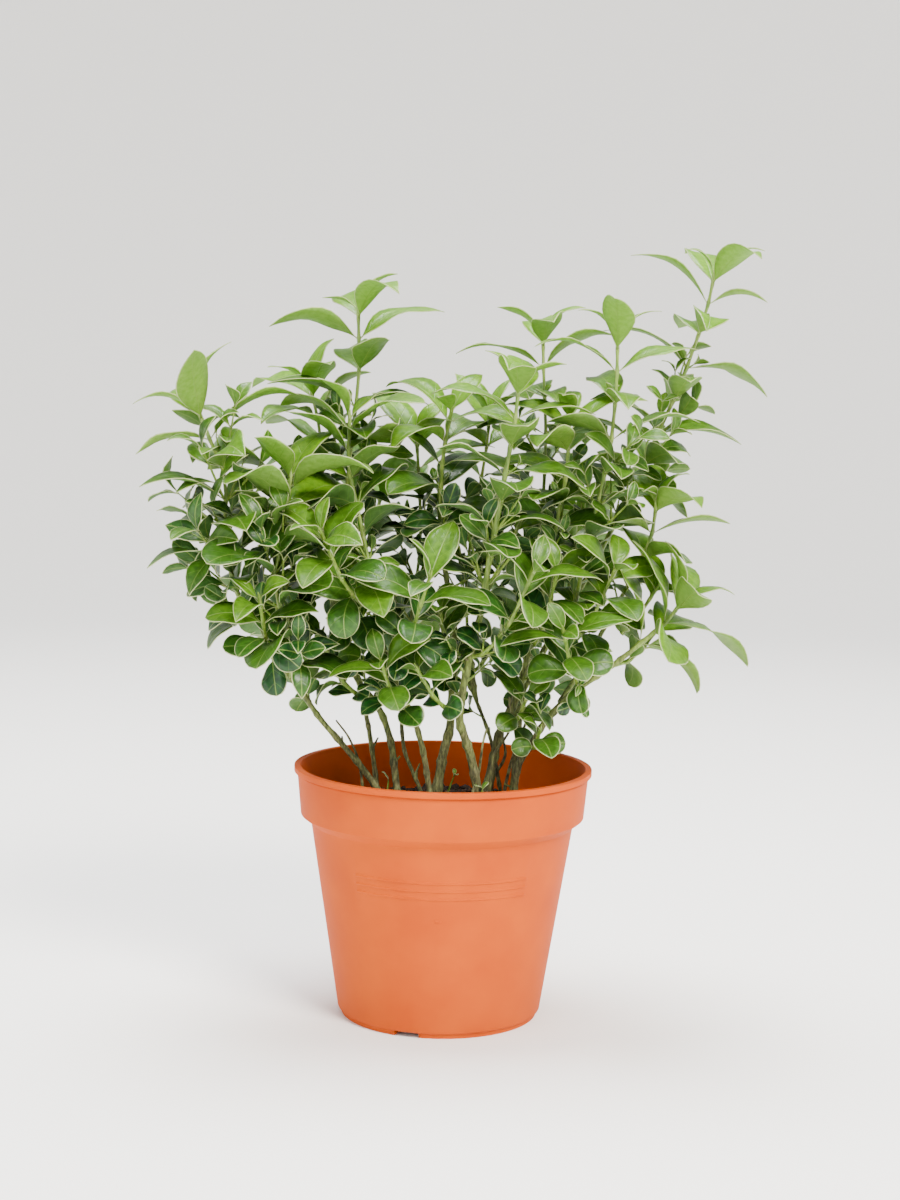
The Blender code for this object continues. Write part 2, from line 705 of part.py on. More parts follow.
    def grow_leaf(self, number, index, seat, which, obstacles):
        """Lays one leaf clear of everything in place, and extrudes it from its seat."""
        _, direction, side, _ = self.frames[index]
        out = Matrix.Rotation(which * math.pi / 2, 3, direction) @ side
        base = seat.calc_center_median()
        length, width = self.leaf_sizes(number)
        lift = self.leaf_lift(number)
        arch = math.radians(self.rng.uniform(*LEAF_ARCH))
        for attempt in range(LEAF_TRIES):
            further = attempt / LEAF_TRIES
            swing = self.within(LEAF_SWING * (1 + TRY_SWING * further))
            tilt = lift + self.within(TRY_TILT * further)
            roll = self.within(LEAF_ROLL * (1 + TRY_ROLL * further))
            size = 1.0 - TRY_SHRINK * further
            leaf = leaf_shape(
                base, direction, out, length * size, width * size, tilt, arch, swing, roll
            )
            if self.is_clear(leaf, obstacles):
                self.extrude_leaf(seat, leaf, direction)
                return 1
        return 0

    def is_clear(self, leaf, obstacles):
        """Whether a leaf, in a sleeve of its clearance, touches nothing that is in place."""
        base, middle, tip, across, normal, width = leaf
        if min(middle.z, tip.z) < POT_HEIGHT - LEAF_BELOW_RIM:
            return False
        third = 1 / 3
        end = tip + (tip - middle).normalized() * LEAF_CLEARANCE
        half_band = NODE_BAND / 2
        points = []
        for centre, half_width, half_thick in (
            (base, half_band, half_band),
            (base.lerp(middle, third), width / 2 * third + LEAF_CLEARANCE, half_band),
            (middle, width / 2 + LEAF_CLEARANCE, LEAF_THICKNESS / 2 + LEAF_CLEARANCE),
            (end, LEAF_CLEARANCE, LEAF_CLEARANCE),
        ):
            for a, b in ((-1, -1), (1, -1), (1, 1), (-1, 1)):
                points.append(centre + a * half_width * across + b * half_thick * normal)
        own = (self.name + " stem",)
        if obstacles.hit(points, loft_faces(4), own):
            return False
        others = (owner for owner, *_ in obstacles.items if owner not in own)
        if obstacles.hit(points[4:], loft_faces(3), tuple(set(others))):
            return False
        obstacles.add(self.name + " leaf", points, loft_faces(4))
        return True

    def extrude_leaf(self, seat, leaf, direction):
        base, middle, tip, across, normal, width = leaf
        blade = bmesh.ops.extrude_discrete_faces(self.bm, faces=[seat])["faces"][0]
        for vert in blade.verts:
            offset = vert.co - base
            a = 1 if offset.dot(across) > 0 else -1
            b = 1 if offset.dot(direction) > 0 else -1
            vert.co = middle + a * across * width / 2 + b * normal * LEAF_THICKNESS / 2
        point = bmesh.ops.extrude_discrete_faces(self.bm, faces=[blade])["faces"][0]
        bmesh.ops.pointmerge(self.bm, verts=point.verts[:], merge_co=tip)


def leaf_shape(base, direction, out, length, width, lift, arch, swing, roll):
    """Middle, tip, width direction and normal of an arching leaf."""
    out = Matrix.Rotation(swing, 3, direction) @ out
    across = direction.cross(out).normalized()
    rise = Matrix.Rotation(-lift + arch * BASE_ARCH, 3, across) @ out
    fall = Matrix.Rotation(-lift + arch, 3, across) @ out
    middle = base + rise * length * WIDEST_AT
    tip = middle + fall * length * (1 - WIDEST_AT)
    along = (tip - base).normalized()
    across = Matrix.Rotation(roll, 3, along) @ across
    normal = along.cross(across).normalized()
    if normal.dot(direction) < 0:
        normal = -normal
    return base, middle, tip, across, normal, width


def side_route(start, out, heading, reach, rise):
    """Route of a short side shoot: half its reach is in the first third of its rise."""
    flat = Vector((math.cos(heading), math.sin(heading), 0.0))
    knee = start + out * SHOOT_START
    bend = knee + flat * reach / 2 + Vector((0, 0, rise / 3))
    top = knee + flat * reach + Vector((0, 0, rise))
    return [start, knee, bend, top]


def place_side_shoot(parent, height, heading, reach, rise, name, obstacles):
    """A side shoot's stem, swung and shortened until it is clear of every other stem."""
    distance = parent.at_height(above_rim(height))
    for attempt in range(SHOOT_TRIES):
        side = 1 if attempt % 2 else -1
        turned_to = math.radians(heading + side * SHOOT_TRY_TURN * ((attempt + 1) // 2))
        towards = parent.at(distance)[0] + Vector((math.cos(turned_to), math.sin(turned_to), 0.0))
        start, out = side_start(parent, distance, towards)
        size = (1.0 - SHOOT_TRY_SHRINK * attempt / SHOOT_TRIES) * MM
        route = side_route(start, out, turned_to, reach * size, rise * size)
        stem = Stem(smooth_route(route, SHOOT_STEP), SIDE_SHOOT_RADIUS, SHOOT_END_RADIUS)
        shoot = Shoot(name, stem, 1, 0, SIDE_LEAVES, 0)
        if not obstacles.hit(*shoot.hull(2 * GAP, skip=NODE_BAND)):
            return stem
    raise ValueError(f"{name} has no clear way out of its cane")


def main():
    clear_scene()
    parts = new_collection("potted_serissa")
    ribs = new_collection("ribs")
    drains = new_collection("drains")
    sockets = new_collection("sockets")

    plastic = principled("terracotta_polypropylene", (0.85, 0.24, 0.075), 0.5)
    mix = principled("potting_mix", (0.035, 0.022, 0.014), 0.95)
    bark = principled("serissa_bark", (0.21, 0.17, 0.08), 0.8)
    leafy = principled("serissa_leaf", (0.10, 0.27, 0.05), 0.45)

    make_ribs(ribs)
    make_drains(drains)
    pot = make_pot(plastic, parts, ribs, drains)

    stems = {}
    obstacles = Obstacles()
    for name, (route, foot, end) in CANES.items():
        stems[name] = Stem(rooted_path(route), foot * MM, end * MM)
    for name, (parent, height, route, foot, end) in BRANCHES.items():
        points = in_metres(route)
        start, out = side_start(stems[parent], stems[parent].at_height(above_rim(height)), points[0])
        path = smooth_route([start, start + out * SHOOT_START, *points], CANE_STEP)
        stems[name] = Stem(path, foot * MM, end * MM)
    for name, stem in stems.items():
        curve_tube(name, stem, parts, bark)
        wide = curve_tube(name + "_clearance", stem, sockets, swell=GAP)
        wide = mesh_of_curve(wide, sockets)
        obstacles.add_mesh(name, wide.data)
        as_cutter(wide)
        if name in BRANCHES:
            bpy.data.objects.remove(wide)
    soil = make_soil(mix, parts, sockets)
    graph = bpy.context.evaluated_depsgraph_get()
    for piece in (pot, soil):
        obstacles.add_mesh(piece.name, piece.evaluated_get(graph).data)

    shoots = []
    for name, (parent, height, route, pairs, turn, sizes) in SHOOTS.items():
        points = in_metres(route)
        if height is None:
            centre, direction, radius = stems[parent].at(stems[parent].length)
            start = centre + direction * GAP
            path = [start, *points]
        else:
            distance = stems[parent].at_height(above_rim(height))
            start, out = side_start(stems[parent], distance, points[0])
            radius = FORKED_SHOOT_RADIUS
            path = [start, start + out * SHOOT_START, *points]
        stem = Stem(smooth_route(path, SHOOT_STEP), radius, SHOOT_END_RADIUS)
        shoots.append(Shoot(name, stem, pairs, turn, sizes, len(shoots)))
    for shoot in shoots:
        obstacles.add(shoot.name + " stem", *shoot.hull(0.0))
    for parent, rows in SIDE_SHOOTS.items():
        for number, (height, heading, reach, rise, pairs) in enumerate(rows, 1):
            name = f"{parent}_side_shoot_{number}"
            stem = place_side_shoot(stems[parent], height, heading, reach, rise, name, obstacles)
            shoot = Shoot(name, stem, pairs, 67 * len(shoots), SIDE_LEAVES, len(shoots))
            obstacles.add(name + " stem", *shoot.hull(0.0))
            shoots.append(shoot)

    grown = 0
    for shoot in shoots:
        shoot.build_stem()
        grown += shoot.grow_leaves(obstacles)
        add_object(shoot.name, mesh_from(shoot.bm, shoot.name), leafy, parts)
    print(f"{grown} leaves on {len(shoots)} shoots")


main()
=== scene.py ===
"""A potted serissa: pot, potting mix, woody canes, green shoots and variegated leaves.

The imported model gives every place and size: each stem and leaf here grows where its solid is.
"""

import json
import math
import random

import bmesh
import bpy
from mathutils import Matrix, Vector, noise

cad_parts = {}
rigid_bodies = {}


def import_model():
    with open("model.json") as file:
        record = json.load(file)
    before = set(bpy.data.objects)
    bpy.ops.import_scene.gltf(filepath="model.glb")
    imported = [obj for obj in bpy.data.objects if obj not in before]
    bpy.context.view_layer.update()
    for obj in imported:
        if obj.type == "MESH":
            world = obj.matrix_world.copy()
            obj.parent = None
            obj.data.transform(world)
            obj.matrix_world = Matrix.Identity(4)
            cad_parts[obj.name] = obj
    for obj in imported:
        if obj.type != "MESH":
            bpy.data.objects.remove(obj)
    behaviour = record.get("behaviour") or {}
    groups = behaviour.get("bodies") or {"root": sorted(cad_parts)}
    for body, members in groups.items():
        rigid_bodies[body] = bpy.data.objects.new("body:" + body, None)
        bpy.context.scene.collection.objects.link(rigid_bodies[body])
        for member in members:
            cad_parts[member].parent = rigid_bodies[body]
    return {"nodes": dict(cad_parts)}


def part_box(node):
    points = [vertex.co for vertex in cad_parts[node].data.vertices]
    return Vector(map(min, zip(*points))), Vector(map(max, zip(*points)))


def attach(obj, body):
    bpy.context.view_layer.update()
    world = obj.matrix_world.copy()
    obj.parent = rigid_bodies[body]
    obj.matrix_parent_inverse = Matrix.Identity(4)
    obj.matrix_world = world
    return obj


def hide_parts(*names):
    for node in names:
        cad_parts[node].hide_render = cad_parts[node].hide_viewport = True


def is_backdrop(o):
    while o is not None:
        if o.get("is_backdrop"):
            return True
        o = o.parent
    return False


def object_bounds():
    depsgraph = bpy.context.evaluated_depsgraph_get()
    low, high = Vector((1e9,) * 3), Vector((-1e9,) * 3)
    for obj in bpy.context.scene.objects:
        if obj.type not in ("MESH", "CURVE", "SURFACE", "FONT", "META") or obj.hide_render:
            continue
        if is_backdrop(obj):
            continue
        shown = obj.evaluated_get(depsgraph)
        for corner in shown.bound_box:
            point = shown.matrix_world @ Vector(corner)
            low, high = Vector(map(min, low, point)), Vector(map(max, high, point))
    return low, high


for obj in list(bpy.data.objects):
    bpy.data.objects.remove(obj, do_unlink=True)
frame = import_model()
cad_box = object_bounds()

# ------------------------------------------------------------------ studio
# A matt off-white cove, round so that every side of the plant has the same plain ground,
# with three large soft lights and a camera a metre in front, a little above the leaves.

MM = 0.001
SEAM = 0.01 * MM  # points closer together than this are one
COVE_RADIUS = 3.2
COVE_BEND = 1.4
COVE_STEPS = 64
BEND_STEPS = 12
SMOOTH_ANGLE = math.radians(40)


def linear(hex_colour):
    """The linear RGBA of an sRGB hex colour."""
    shares = [int(hex_colour[i : i + 2], 16) / 255 for i in (0, 2, 4)]
    return (*(s / 12.92 if s <= 0.04045 else ((s + 0.055) / 1.055) ** 2.4 for s in shares), 1.0)


def add(tree, kind, inputs, **settings):
    """Adds a node, with its settings and its inputs as values or as links."""
    made = tree.nodes.new(kind)
    for name, value in settings.items():
        setattr(made, name, value)
    for name, value in inputs.items():
        if isinstance(value, bpy.types.NodeSocket):
            tree.links.new(value, made.inputs[name])
        else:
            made.inputs[name].default_value = value
    return made


def new_material(name):
    """A material with an empty node tree."""
    material = bpy.data.materials.new(name)
    material.use_nodes = True
    material.node_tree.nodes.clear()
    return material, material.node_tree


def principled(tree, inputs):
    return add(tree, "ShaderNodeBsdfPrincipled", inputs).outputs[0]


def surface(tree, shader):
    """Makes a shader the material's surface."""
    add(tree, "ShaderNodeOutputMaterial", {"Surface": shader})


def turned(outline, steps):
    """A bmesh of (radius, height) points turned about the upright axis."""
    bm = bmesh.new()
    profile = [bm.verts.new((r, 0.0, z)) for r, z in outline]
    edges = [bm.edges.new(pair) for pair in zip(profile, profile[1:])]
    bmesh.ops.spin(
        bm, geom=[*profile, *edges], axis=(0, 0, 1), cent=(0, 0, 0), angle=math.tau,
        steps=steps, use_merge=True,
    )
    bmesh.ops.remove_doubles(bm, verts=bm.verts[:], dist=SEAM)
    bmesh.ops.recalc_face_normals(bm, faces=bm.faces[:])
    return bm


def new_piece(name, bm, *materials):
    """The object of a finished bmesh, smooth where its faces meet at a slight angle."""
    mesh = bpy.data.meshes.new(name)
    bm.to_mesh(mesh)
    bm.free()
    mesh.shade_smooth()
    mesh.set_sharp_from_angle(angle=SMOOTH_ANGLE)
    piece = bpy.data.objects.new(name, mesh)
    for material in materials:
        mesh.materials.append(material)
    bpy.context.scene.collection.objects.link(piece)
    return piece


# Matt emulsion paint, almost white and without a shine.
cove_paint, tree = new_material("matt_white_cove_paint")
surface(tree, principled(tree, {
    "Base Color": linear("F4F3F1"), "Roughness": 0.9, "Specular IOR Level": 0.2,
}))

outline = [(0.0, 0.0), (COVE_RADIUS - COVE_BEND, 0.0)]
for step in range(1, BEND_STEPS + 1):
    turn = math.radians(90) * step / BEND_STEPS
    outline.append((
        COVE_RADIUS - COVE_BEND + COVE_BEND * math.sin(turn), COVE_BEND * (1 - math.cos(turn))
    ))
cove = new_piece("cove", turned(outline, COVE_STEPS), cove_paint)
cove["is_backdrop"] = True

for name, place, target, size, power, colour in (
    ("key_light", (0.9, -1.5, 1.7), (0, 0, 0.2), 0.9, 125, "FFFAF0"),
    ("fill_light", (-1.5, -1.3, 0.8), (0, 0, 0.2), 1.4, 14, "F4F9FF"),
    ("top_light", (-0.1, 0.3, 1.9), (0, 0, 0.25), 1.1, 90, "FFFFFF"),
):
    light = bpy.data.lights.new(name, "AREA")
    light.shape = "DISK"
    light.size = size
    light.energy = power
    light.color = linear(colour)[:3]
    lamp = bpy.data.objects.new(name, light)
    lamp.location = place
    lamp.rotation_euler = (Vector(target) - Vector(place)).to_track_quat("-Z", "Y").to_euler()
    bpy.context.scene.collection.objects.link(lamp)

SKY_STRENGTH = 0.72
world = bpy.data.worlds.new("soft_daylight")
world.use_nodes = True
sky = world.node_tree.nodes["Background"]
sky.inputs["Color"].default_value = linear("FFFFFF")
sky.inputs["Strength"].default_value = SKY_STRENGTH
bpy.context.scene.world = world

CAMERA_PLACE = (0.0018, -1.009, 0.3092)
CAMERA_PITCH = 0.098
CAMERA_ROLL = 0.020
CAMERA_LENS = 60.7
SENSOR_WIDTH = 36.0
camera = bpy.data.objects.new("camera", bpy.data.cameras.new("camera"))
camera.data.sensor_width = SENSOR_WIDTH
camera.data.lens = CAMERA_LENS
camera.matrix_world = (
    Matrix.Translation(CAMERA_PLACE)
    @ Matrix.Rotation(math.radians(90) - CAMERA_PITCH, 4, "X")
    @ Matrix.Rotation(CAMERA_ROLL, 4, "Z")
)
bpy.context.scene.collection.objects.link(camera)
bpy.context.scene.camera = camera

# ------------------------------------------------------------------ pot
# A nursery pot, injection moulded in terracotta-coloured polypropylene: a thin wall with a
# beaded lip, a rim band and shoulder for nesting, three faint lines on the front, an inset
# foot and three drain slots through the foot's corner.

POT_STEPS = 160
POT_WALL = 1.6 * MM
POT_FLOOR = 2.0 * MM
FLOOR_CORNER = 3.5 * MM
LIP_HEIGHT = 2.8 * MM
LIP_PROUD = 1.7 * MM
LIP_GROOVE = 0.6 * MM
LIP_GROOVE_DEPTH = 1.2 * MM
BAND_HEIGHT = 21.6 * MM
BAND_TAPER = 1.9 * MM
SHOULDER_HEIGHT = 4.4 * MM
SHOULDER_STEP = 5.3 * MM
SHOULDER_EDGE = 0.9 * MM
SHOULDER_EDGE_RISE = 1.0 * MM
BODY_FOOT_RADIUS = 51.4 * MM
FOOT_HEIGHT = 2.0 * MM
FOOT_CHAMFER = 1.2 * MM
FOOT_INSET = 1.8 * MM
RIB_DROPS = (17.2 * MM, 21.2 * MM, 25.2 * MM)
RIB_WIDTH = 1.2 * MM
RIB_PROUD = 0.5 * MM
RIB_SLOPE = 0.25 * MM
RIB_HALF_TURN = math.radians(41)
GATE_HEIGHT = 61.0 * MM
GATE_SIZE = 1.6 * MM
GATE_SLOPE = 0.4 * MM
GATE_PROUD = 0.35 * MM
MOULD_RADIUS = 0.35 * MM
CORNER_ANGLE = math.radians(14)
SAME_PLACE = 0.1 * MM
DRAIN_WIDTH = 12.5 * MM
DRAIN_HEIGHT = 2.6 * MM
DRAIN_REACH = 22 * MM
DRAIN_RADIUS = 0.5 * MM
DRAIN_COUNT = 3
DRAIN_TURN = math.radians(-18)

pot_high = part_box("pot")[1]
POT_TOP = pot_high.z
LIP_RADIUS = pot_high.x
BAND_TOP_RADIUS = LIP_RADIUS - LIP_PROUD
BAND_TOP = POT_TOP - LIP_HEIGHT
BAND_FOOT = BAND_TOP - BAND_HEIGHT
BAND_FOOT_RADIUS = BAND_TOP_RADIUS - BAND_TAPER
BODY_TOP = BAND_FOOT - SHOULDER_HEIGHT
BODY_TOP_RADIUS = BAND_FOOT_RADIUS - SHOULDER_STEP
BODY_FOOT = FOOT_HEIGHT + FOOT_CHAMFER


def body_radius(height):
    """Radius of the pot's body below the shoulder."""
    share = (height - BODY_FOOT) / (BODY_TOP - BODY_FOOT)
    return BODY_FOOT_RADIUS + (BODY_TOP_RADIUS - BODY_FOOT_RADIUS) * share


def object_place(tree):
    return add(tree, "ShaderNodeTexCoord", {}).outputs["Object"]


def noise_texture(tree, place, scale, detail, roughness=0.5):
    return add(tree, "ShaderNodeTexNoise", {
        "Vector": place, "Scale": scale, "Detail": detail, "Roughness": roughness,
    }).outputs["Fac"]


def ramp(tree, share, *stops):
    """A colour that runs through (place, sRGB hex) stops as a share rises."""
    made = add(tree, "ShaderNodeValToRGB", {"Fac": share})
    elements = made.color_ramp.elements
    for i, (place, colour) in enumerate(stops):
        stop = elements[i] if i < len(elements) else elements.new(place)
        stop.position = place
        stop.color = linear(colour)
    return made.outputs["Color"]


def blend(tree, share, first, second):
    """The colour a share of the way from the first to the second."""
    made = add(tree, "ShaderNodeMix", {0: share, 6: first, 7: second}, data_type="RGBA")
    return made.outputs[2]


def remap(tree, value, source, target=(0.0, 1.0), easing="LINEAR"):
    """A value taken from one range to another."""
    return add(tree, "ShaderNodeMapRange", {
        "Value": value, "From Min": source[0], "From Max": source[1],
        "To Min": target[0], "To Max": target[1],
    }, interpolation_type=easing).outputs[0]


def compute(tree, operation, *values):
    return add(tree, "ShaderNodeMath", dict(enumerate(values)), operation=operation).outputs[0]


def bump(tree, height, strength, distance):
    return add(tree, "ShaderNodeBump", {
        "Height": height, "Strength": strength, "Distance": distance,
    }).outputs[0]


# Terracotta polypropylene as moulded against a spark-eroded steel tool: an even, satin orange
# with a very fine grain, slightly uneven in gloss, and darker and browner in patches towards the
# foot.
polypropylene, tree = new_material("moulded_terracotta_polypropylene")
place = object_place(tree)
cloud = noise_texture(tree, place, 38.0, 3.0)
grain = noise_texture(tree, place, 1 / (0.7 * MM), 2.0)
height = add(tree, "ShaderNodeSeparateXYZ", {"Vector": place}).outputs["Z"]
# The lower half of the wall is mixed, in patches, towards a darker brown, most at the foot.
lower_darkening = compute(tree, "MULTIPLY", remap(tree, height, (0.0, 60 * MM), (0.22, 0.0)), cloud)
terracotta = ramp(tree, cloud, (0.32, "AC4200"), (0.70, "B84C02"))
surface(tree, principled(tree, {
    "Base Color": blend(tree, lower_darkening, terracotta, linear("9E4A20")),
    "Roughness": remap(tree, cloud, (0.0, 1.0), (0.58, 0.70)),
    "Normal": bump(tree, grain, 0.12, 0.05 * MM), "IOR": 1.49, "Specular IOR Level": 0.10,
}))

inner_foot_radius = body_radius(POT_FLOOR) - POT_WALL
outline = [
    (0.0, POT_FLOOR),
    (inner_foot_radius - FLOOR_CORNER, POT_FLOOR),
    (inner_foot_radius, POT_FLOOR + FLOOR_CORNER),
    (BODY_TOP_RADIUS - POT_WALL, BODY_TOP),
    (BAND_FOOT_RADIUS - POT_WALL, BAND_FOOT),
    (BAND_TOP_RADIUS - POT_WALL, POT_TOP),
    (LIP_RADIUS, POT_TOP),
    (LIP_RADIUS, BAND_TOP),
    (BAND_TOP_RADIUS - LIP_GROOVE, BAND_TOP),
    (BAND_TOP_RADIUS, BAND_TOP - LIP_GROOVE_DEPTH),
    (BAND_FOOT_RADIUS, BAND_FOOT),
    (BODY_TOP_RADIUS + SHOULDER_EDGE, BODY_TOP + SHOULDER_EDGE_RISE),
    (BODY_TOP_RADIUS, BODY_TOP),
]
for drop in RIB_DROPS:
    for half in (0.5, -0.5):
        z = BODY_TOP - drop + half * RIB_WIDTH
        outline.append((body_radius(z), z))
outline += [
    (body_radius(GATE_HEIGHT + GATE_SIZE / 2), GATE_HEIGHT + GATE_SIZE / 2),
    (body_radius(GATE_HEIGHT - GATE_SIZE / 2), GATE_HEIGHT - GATE_SIZE / 2),
    (BODY_FOOT_RADIUS, BODY_FOOT),
    (BODY_FOOT_RADIUS - FOOT_INSET, FOOT_HEIGHT),
    (BODY_FOOT_RADIUS - FOOT_INSET, 0.0),
    (0.0, 0.0),
]
bm = turned(outline, POT_STEPS)

# The lines are raised from the rows of faces between their edges, across the front.
for drop in RIB_DROPS:
    row = []
    for face in bm.faces:
        middle = face.calc_center_median()
        facing = math.atan2(middle.x, -middle.y)
        on_wall = math.hypot(middle.x, middle.y) > body_radius(middle.z) - POT_WALL / 2
        in_line = abs(middle.z - (BODY_TOP - drop)) < SAME_PLACE
        if in_line and abs(facing) < RIB_HALF_TURN and on_wall:
            row.append(face)
    bmesh.ops.inset_region(
        bm, faces=row, thickness=RIB_SLOPE, depth=RIB_PROUD, use_even_offset=True,
        use_boundary=True,
    )

# The stub of the moulding gate is left on the front wall below the lines.
gate_place = Vector((0.0, -body_radius(GATE_HEIGHT), GATE_HEIGHT))
gate = min(bm.faces, key=lambda f: (f.calc_center_median() - gate_place).length)
bmesh.ops.inset_individual(bm, faces=[gate], thickness=GATE_SLOPE, depth=GATE_PROUD)

# Every moulded corner of the turned shape has a small radius.
corners = []
for edge in bm.edges:
    if len(edge.link_faces) == 2 and edge.calc_face_angle() > CORNER_ANGLE:
        a, b = (v.co for v in edge.verts)
        if abs(a.z - b.z) < SEAM and abs(a.xy.length - b.xy.length) < SAME_PLACE / 2:
            corners.append(edge)
bmesh.ops.bevel(
    bm, geom=corners, offset=MOULD_RADIUS, offset_type="OFFSET", segments=3, profile=0.5,
    affect="EDGES", clamp_overlap=True, material=-1,
)

pot = new_piece("pot_shell", bm, polypropylene)
cutters = []
for number in range(DRAIN_COUNT):
    cutter_bm = bmesh.new()
    bmesh.ops.create_cube(cutter_bm, size=1.0, matrix=(
        Matrix.Rotation(DRAIN_TURN + number * math.tau / DRAIN_COUNT, 4, "Z")
        @ Matrix.Translation((0, -BODY_FOOT_RADIUS, 0))
        @ Matrix.Diagonal((DRAIN_WIDTH, DRAIN_REACH, 2 * DRAIN_HEIGHT, 1))
    ))
    slot_edges = [e for e in cutter_bm.edges if all(v.co.z > 0 for v in e.verts)]
    bmesh.ops.bevel(
        cutter_bm, geom=slot_edges, offset=DRAIN_RADIUS, segments=2, profile=0.5,
        affect="EDGES", material=-1,
    )
    cutters.append(new_piece(f"drain_cutter_{number + 1}", cutter_bm))
    cut = pot.modifiers.new("drain", "BOOLEAN")
    cut.operation = "DIFFERENCE"
    cut.solver = "EXACT"
    cut.object = cutters[-1]
graph = bpy.context.evaluated_depsgraph_get()
cut_mesh = bpy.data.meshes.new_from_object(pot.evaluated_get(graph))
pot.modifiers.clear()
pot.data = cut_mesh
for cutter in cutters:
    bpy.data.objects.remove(cutter)
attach(pot, "root")
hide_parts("pot")

# ------------------------------------------------------------------ potting mix
# A mound of peat with composted bark, which fills the pot to 27 mm below the lip. The body is
# turned and its top is roughened; loose crumbs, bark chips and fibres lie on it.

MIX_STEPS = 120
MIX_RINGS = 46
MIX_FIT = 0.5 * MM
MIX_CORNER = 4.5 * MM
MIX_BELOW_LIP = 27.0 * MM
MIX_SPREAD = 0.97  # share of the radius over which loose pieces lie
CRUMBS = 520
LARGE_CRUMBS = CRUMBS // 12
CHIPS = 90
FIBRES = 70

mix_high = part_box("potting_mix")[1]
MIX_RADIUS = mix_high.x
MIX_TOP = mix_high.z
MIX_EDGE = POT_TOP - MIX_BELOW_LIP


def mix_height(x, y):
    """Height of the smooth mound."""
    share = min(1.0, (x * x + y * y) / MIX_RADIUS**2)
    return MIX_EDGE + (MIX_TOP - MIX_EDGE) * (1 - share)


def roughness(x, y):
    """Lumps of the settled mix, from a few millimetres across to the size of a crumb."""
    place = Vector((x, y, 0.3))
    lumps = noise.noise(place * 95) * 2.2 + noise.noise(place * 240) * 1.3
    return (lumps + noise.noise(place * 620) * 0.9) * MM


# Damp peat and bark fines: nearly black brown, quite matt, with paler fibres and bark specks.
peat, tree = new_material("damp_peat_mix")
place = object_place(tree)
lumps = noise_texture(tree, place, 260.0, 6.0, 0.7)
specks = add(tree, "ShaderNodeTexVoronoi", {"Vector": place, "Scale": 1 / (2.4 * MM)})
pale = remap(tree, specks.outputs["Color"], (0.86, 0.95))
earth = ramp(
    tree, lumps, (0.30, "120C08"), (0.52, "2A1C13"), (0.68, "4A3423"), (0.80, "6E5238")
)
surface(tree, principled(tree, {
    "Base Color": blend(tree, pale, earth, linear("7A5B3C")), "Roughness": 0.93,
    "Normal": bump(tree, lumps, 0.8, 0.7 * MM), "Specular IOR Level": 0.3,
}))

outline = [
    (MIX_RADIUS * ring / MIX_RINGS, mix_height(MIX_RADIUS * ring / MIX_RINGS, 0.0))
    for ring in range(MIX_RINGS + 1)
]
outline += [
    (min(MIX_RADIUS, BAND_FOOT_RADIUS - POT_WALL - MIX_FIT), BAND_FOOT),
    (BODY_TOP_RADIUS - POT_WALL - MIX_FIT, BODY_TOP),
    (inner_foot_radius - MIX_CORNER, POT_FLOOR + MIX_FIT),
    (0.0, POT_FLOOR + MIX_FIT),
]
bm = turned(outline, MIX_STEPS)
for vert in bm.verts:
    if vert.co.z > MIX_EDGE - 1 * MM and vert.co.xy.length < MIX_RADIUS - MM:
        vert.co.z += roughness(vert.co.x, vert.co.y)
mix = new_piece("mix_body", bm, peat)
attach(mix, "root")
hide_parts("potting_mix")

rng = random.Random(7)


def scatter(bm, kind, count, sizes, squash):
    """Small loose pieces laid at random on the mix."""
    for _ in range(count):
        turn = rng.uniform(0, math.tau)
        radius = MIX_RADIUS * MIX_SPREAD * math.sqrt(rng.random())
        x, y = radius * math.cos(turn), radius * math.sin(turn)
        size = rng.uniform(*sizes) * MM
        lift = mix_height(x, y) + roughness(x, y) + size * squash[2] * 0.3
        place = (
            Matrix.Translation((x, y, lift))
            @ Matrix.Rotation(rng.uniform(0, math.tau), 4, "Z")
            @ Matrix.Rotation(rng.uniform(-0.7, 0.7), 4, "X")
            @ Matrix.Diagonal((*(size * s * rng.uniform(0.75, 1.3) for s in squash), 1))
        )
        if kind == "lump":
            made = bmesh.ops.create_icosphere(bm, subdivisions=1, radius=0.5)
        else:
            made = bmesh.ops.create_cube(bm, size=1.0)
        for vert in made["verts"]:
            vert.co = place @ (vert.co * rng.uniform(0.78, 1.15))


bm = bmesh.new()
scatter(bm, "lump", CRUMBS, (1.2, 4.0), (1.0, 0.85, 0.7))
scatter(bm, "lump", LARGE_CRUMBS, (4.0, 8.0), (1.0, 0.8, 0.55))
crumbs = new_piece("mix_crumbs", bm, peat)
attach(crumbs, "root")

# Composted pine bark, torn into flakes: red-brown, matt and streaked.
bark_chip, tree = new_material("composted_bark_chip")
streaks = noise_texture(tree, object_place(tree), 420.0, 4.0)
surface(tree, principled(tree, {
    "Base Color": ramp(tree, streaks, (0.35, "2B1A10"), (0.7, "75513A")), "Roughness": 0.85,
    "Normal": bump(tree, streaks, 0.6, 0.3 * MM),
}))

bm = bmesh.new()
scatter(bm, "flake", CHIPS, (3.0, 8.0), (1.0, 0.45, 0.18))
scatter(bm, "flake", FIBRES, (6.0, 15.0), (1.0, 0.035, 0.03))
chips = new_piece("mix_bark_chips", bm, bark_chip)
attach(chips, "root")

# ------------------------------------------------------------------ woody canes
# Eleven canes rise from the mix and three branches leave them. Each is a tapering stem of
# two-year wood with a swollen ring at every old leaf pair, brown and cracked at the foot and
# greener upwards.

CANE_SIDES = 12
CANE_STEP = 2.2 * MM
CANE_OVERRUN = 2.5 * MM
BRANCH_ROOT = 1.6 * MM
NODE_SPACING = 13.0 * MM
NODE_SWELL = 0.26
NODE_RUN = 1.5 * MM
BARE_SHARE = 0.88  # radius between the swollen rings, as a share of the solid's
GREEN_ABOVE = 85 * MM  # height over the lip from which the bark is all green
LOST_CORNERS = 1.6
CAP_SIZE = 4 * MM
COPLANAR = 0.9999


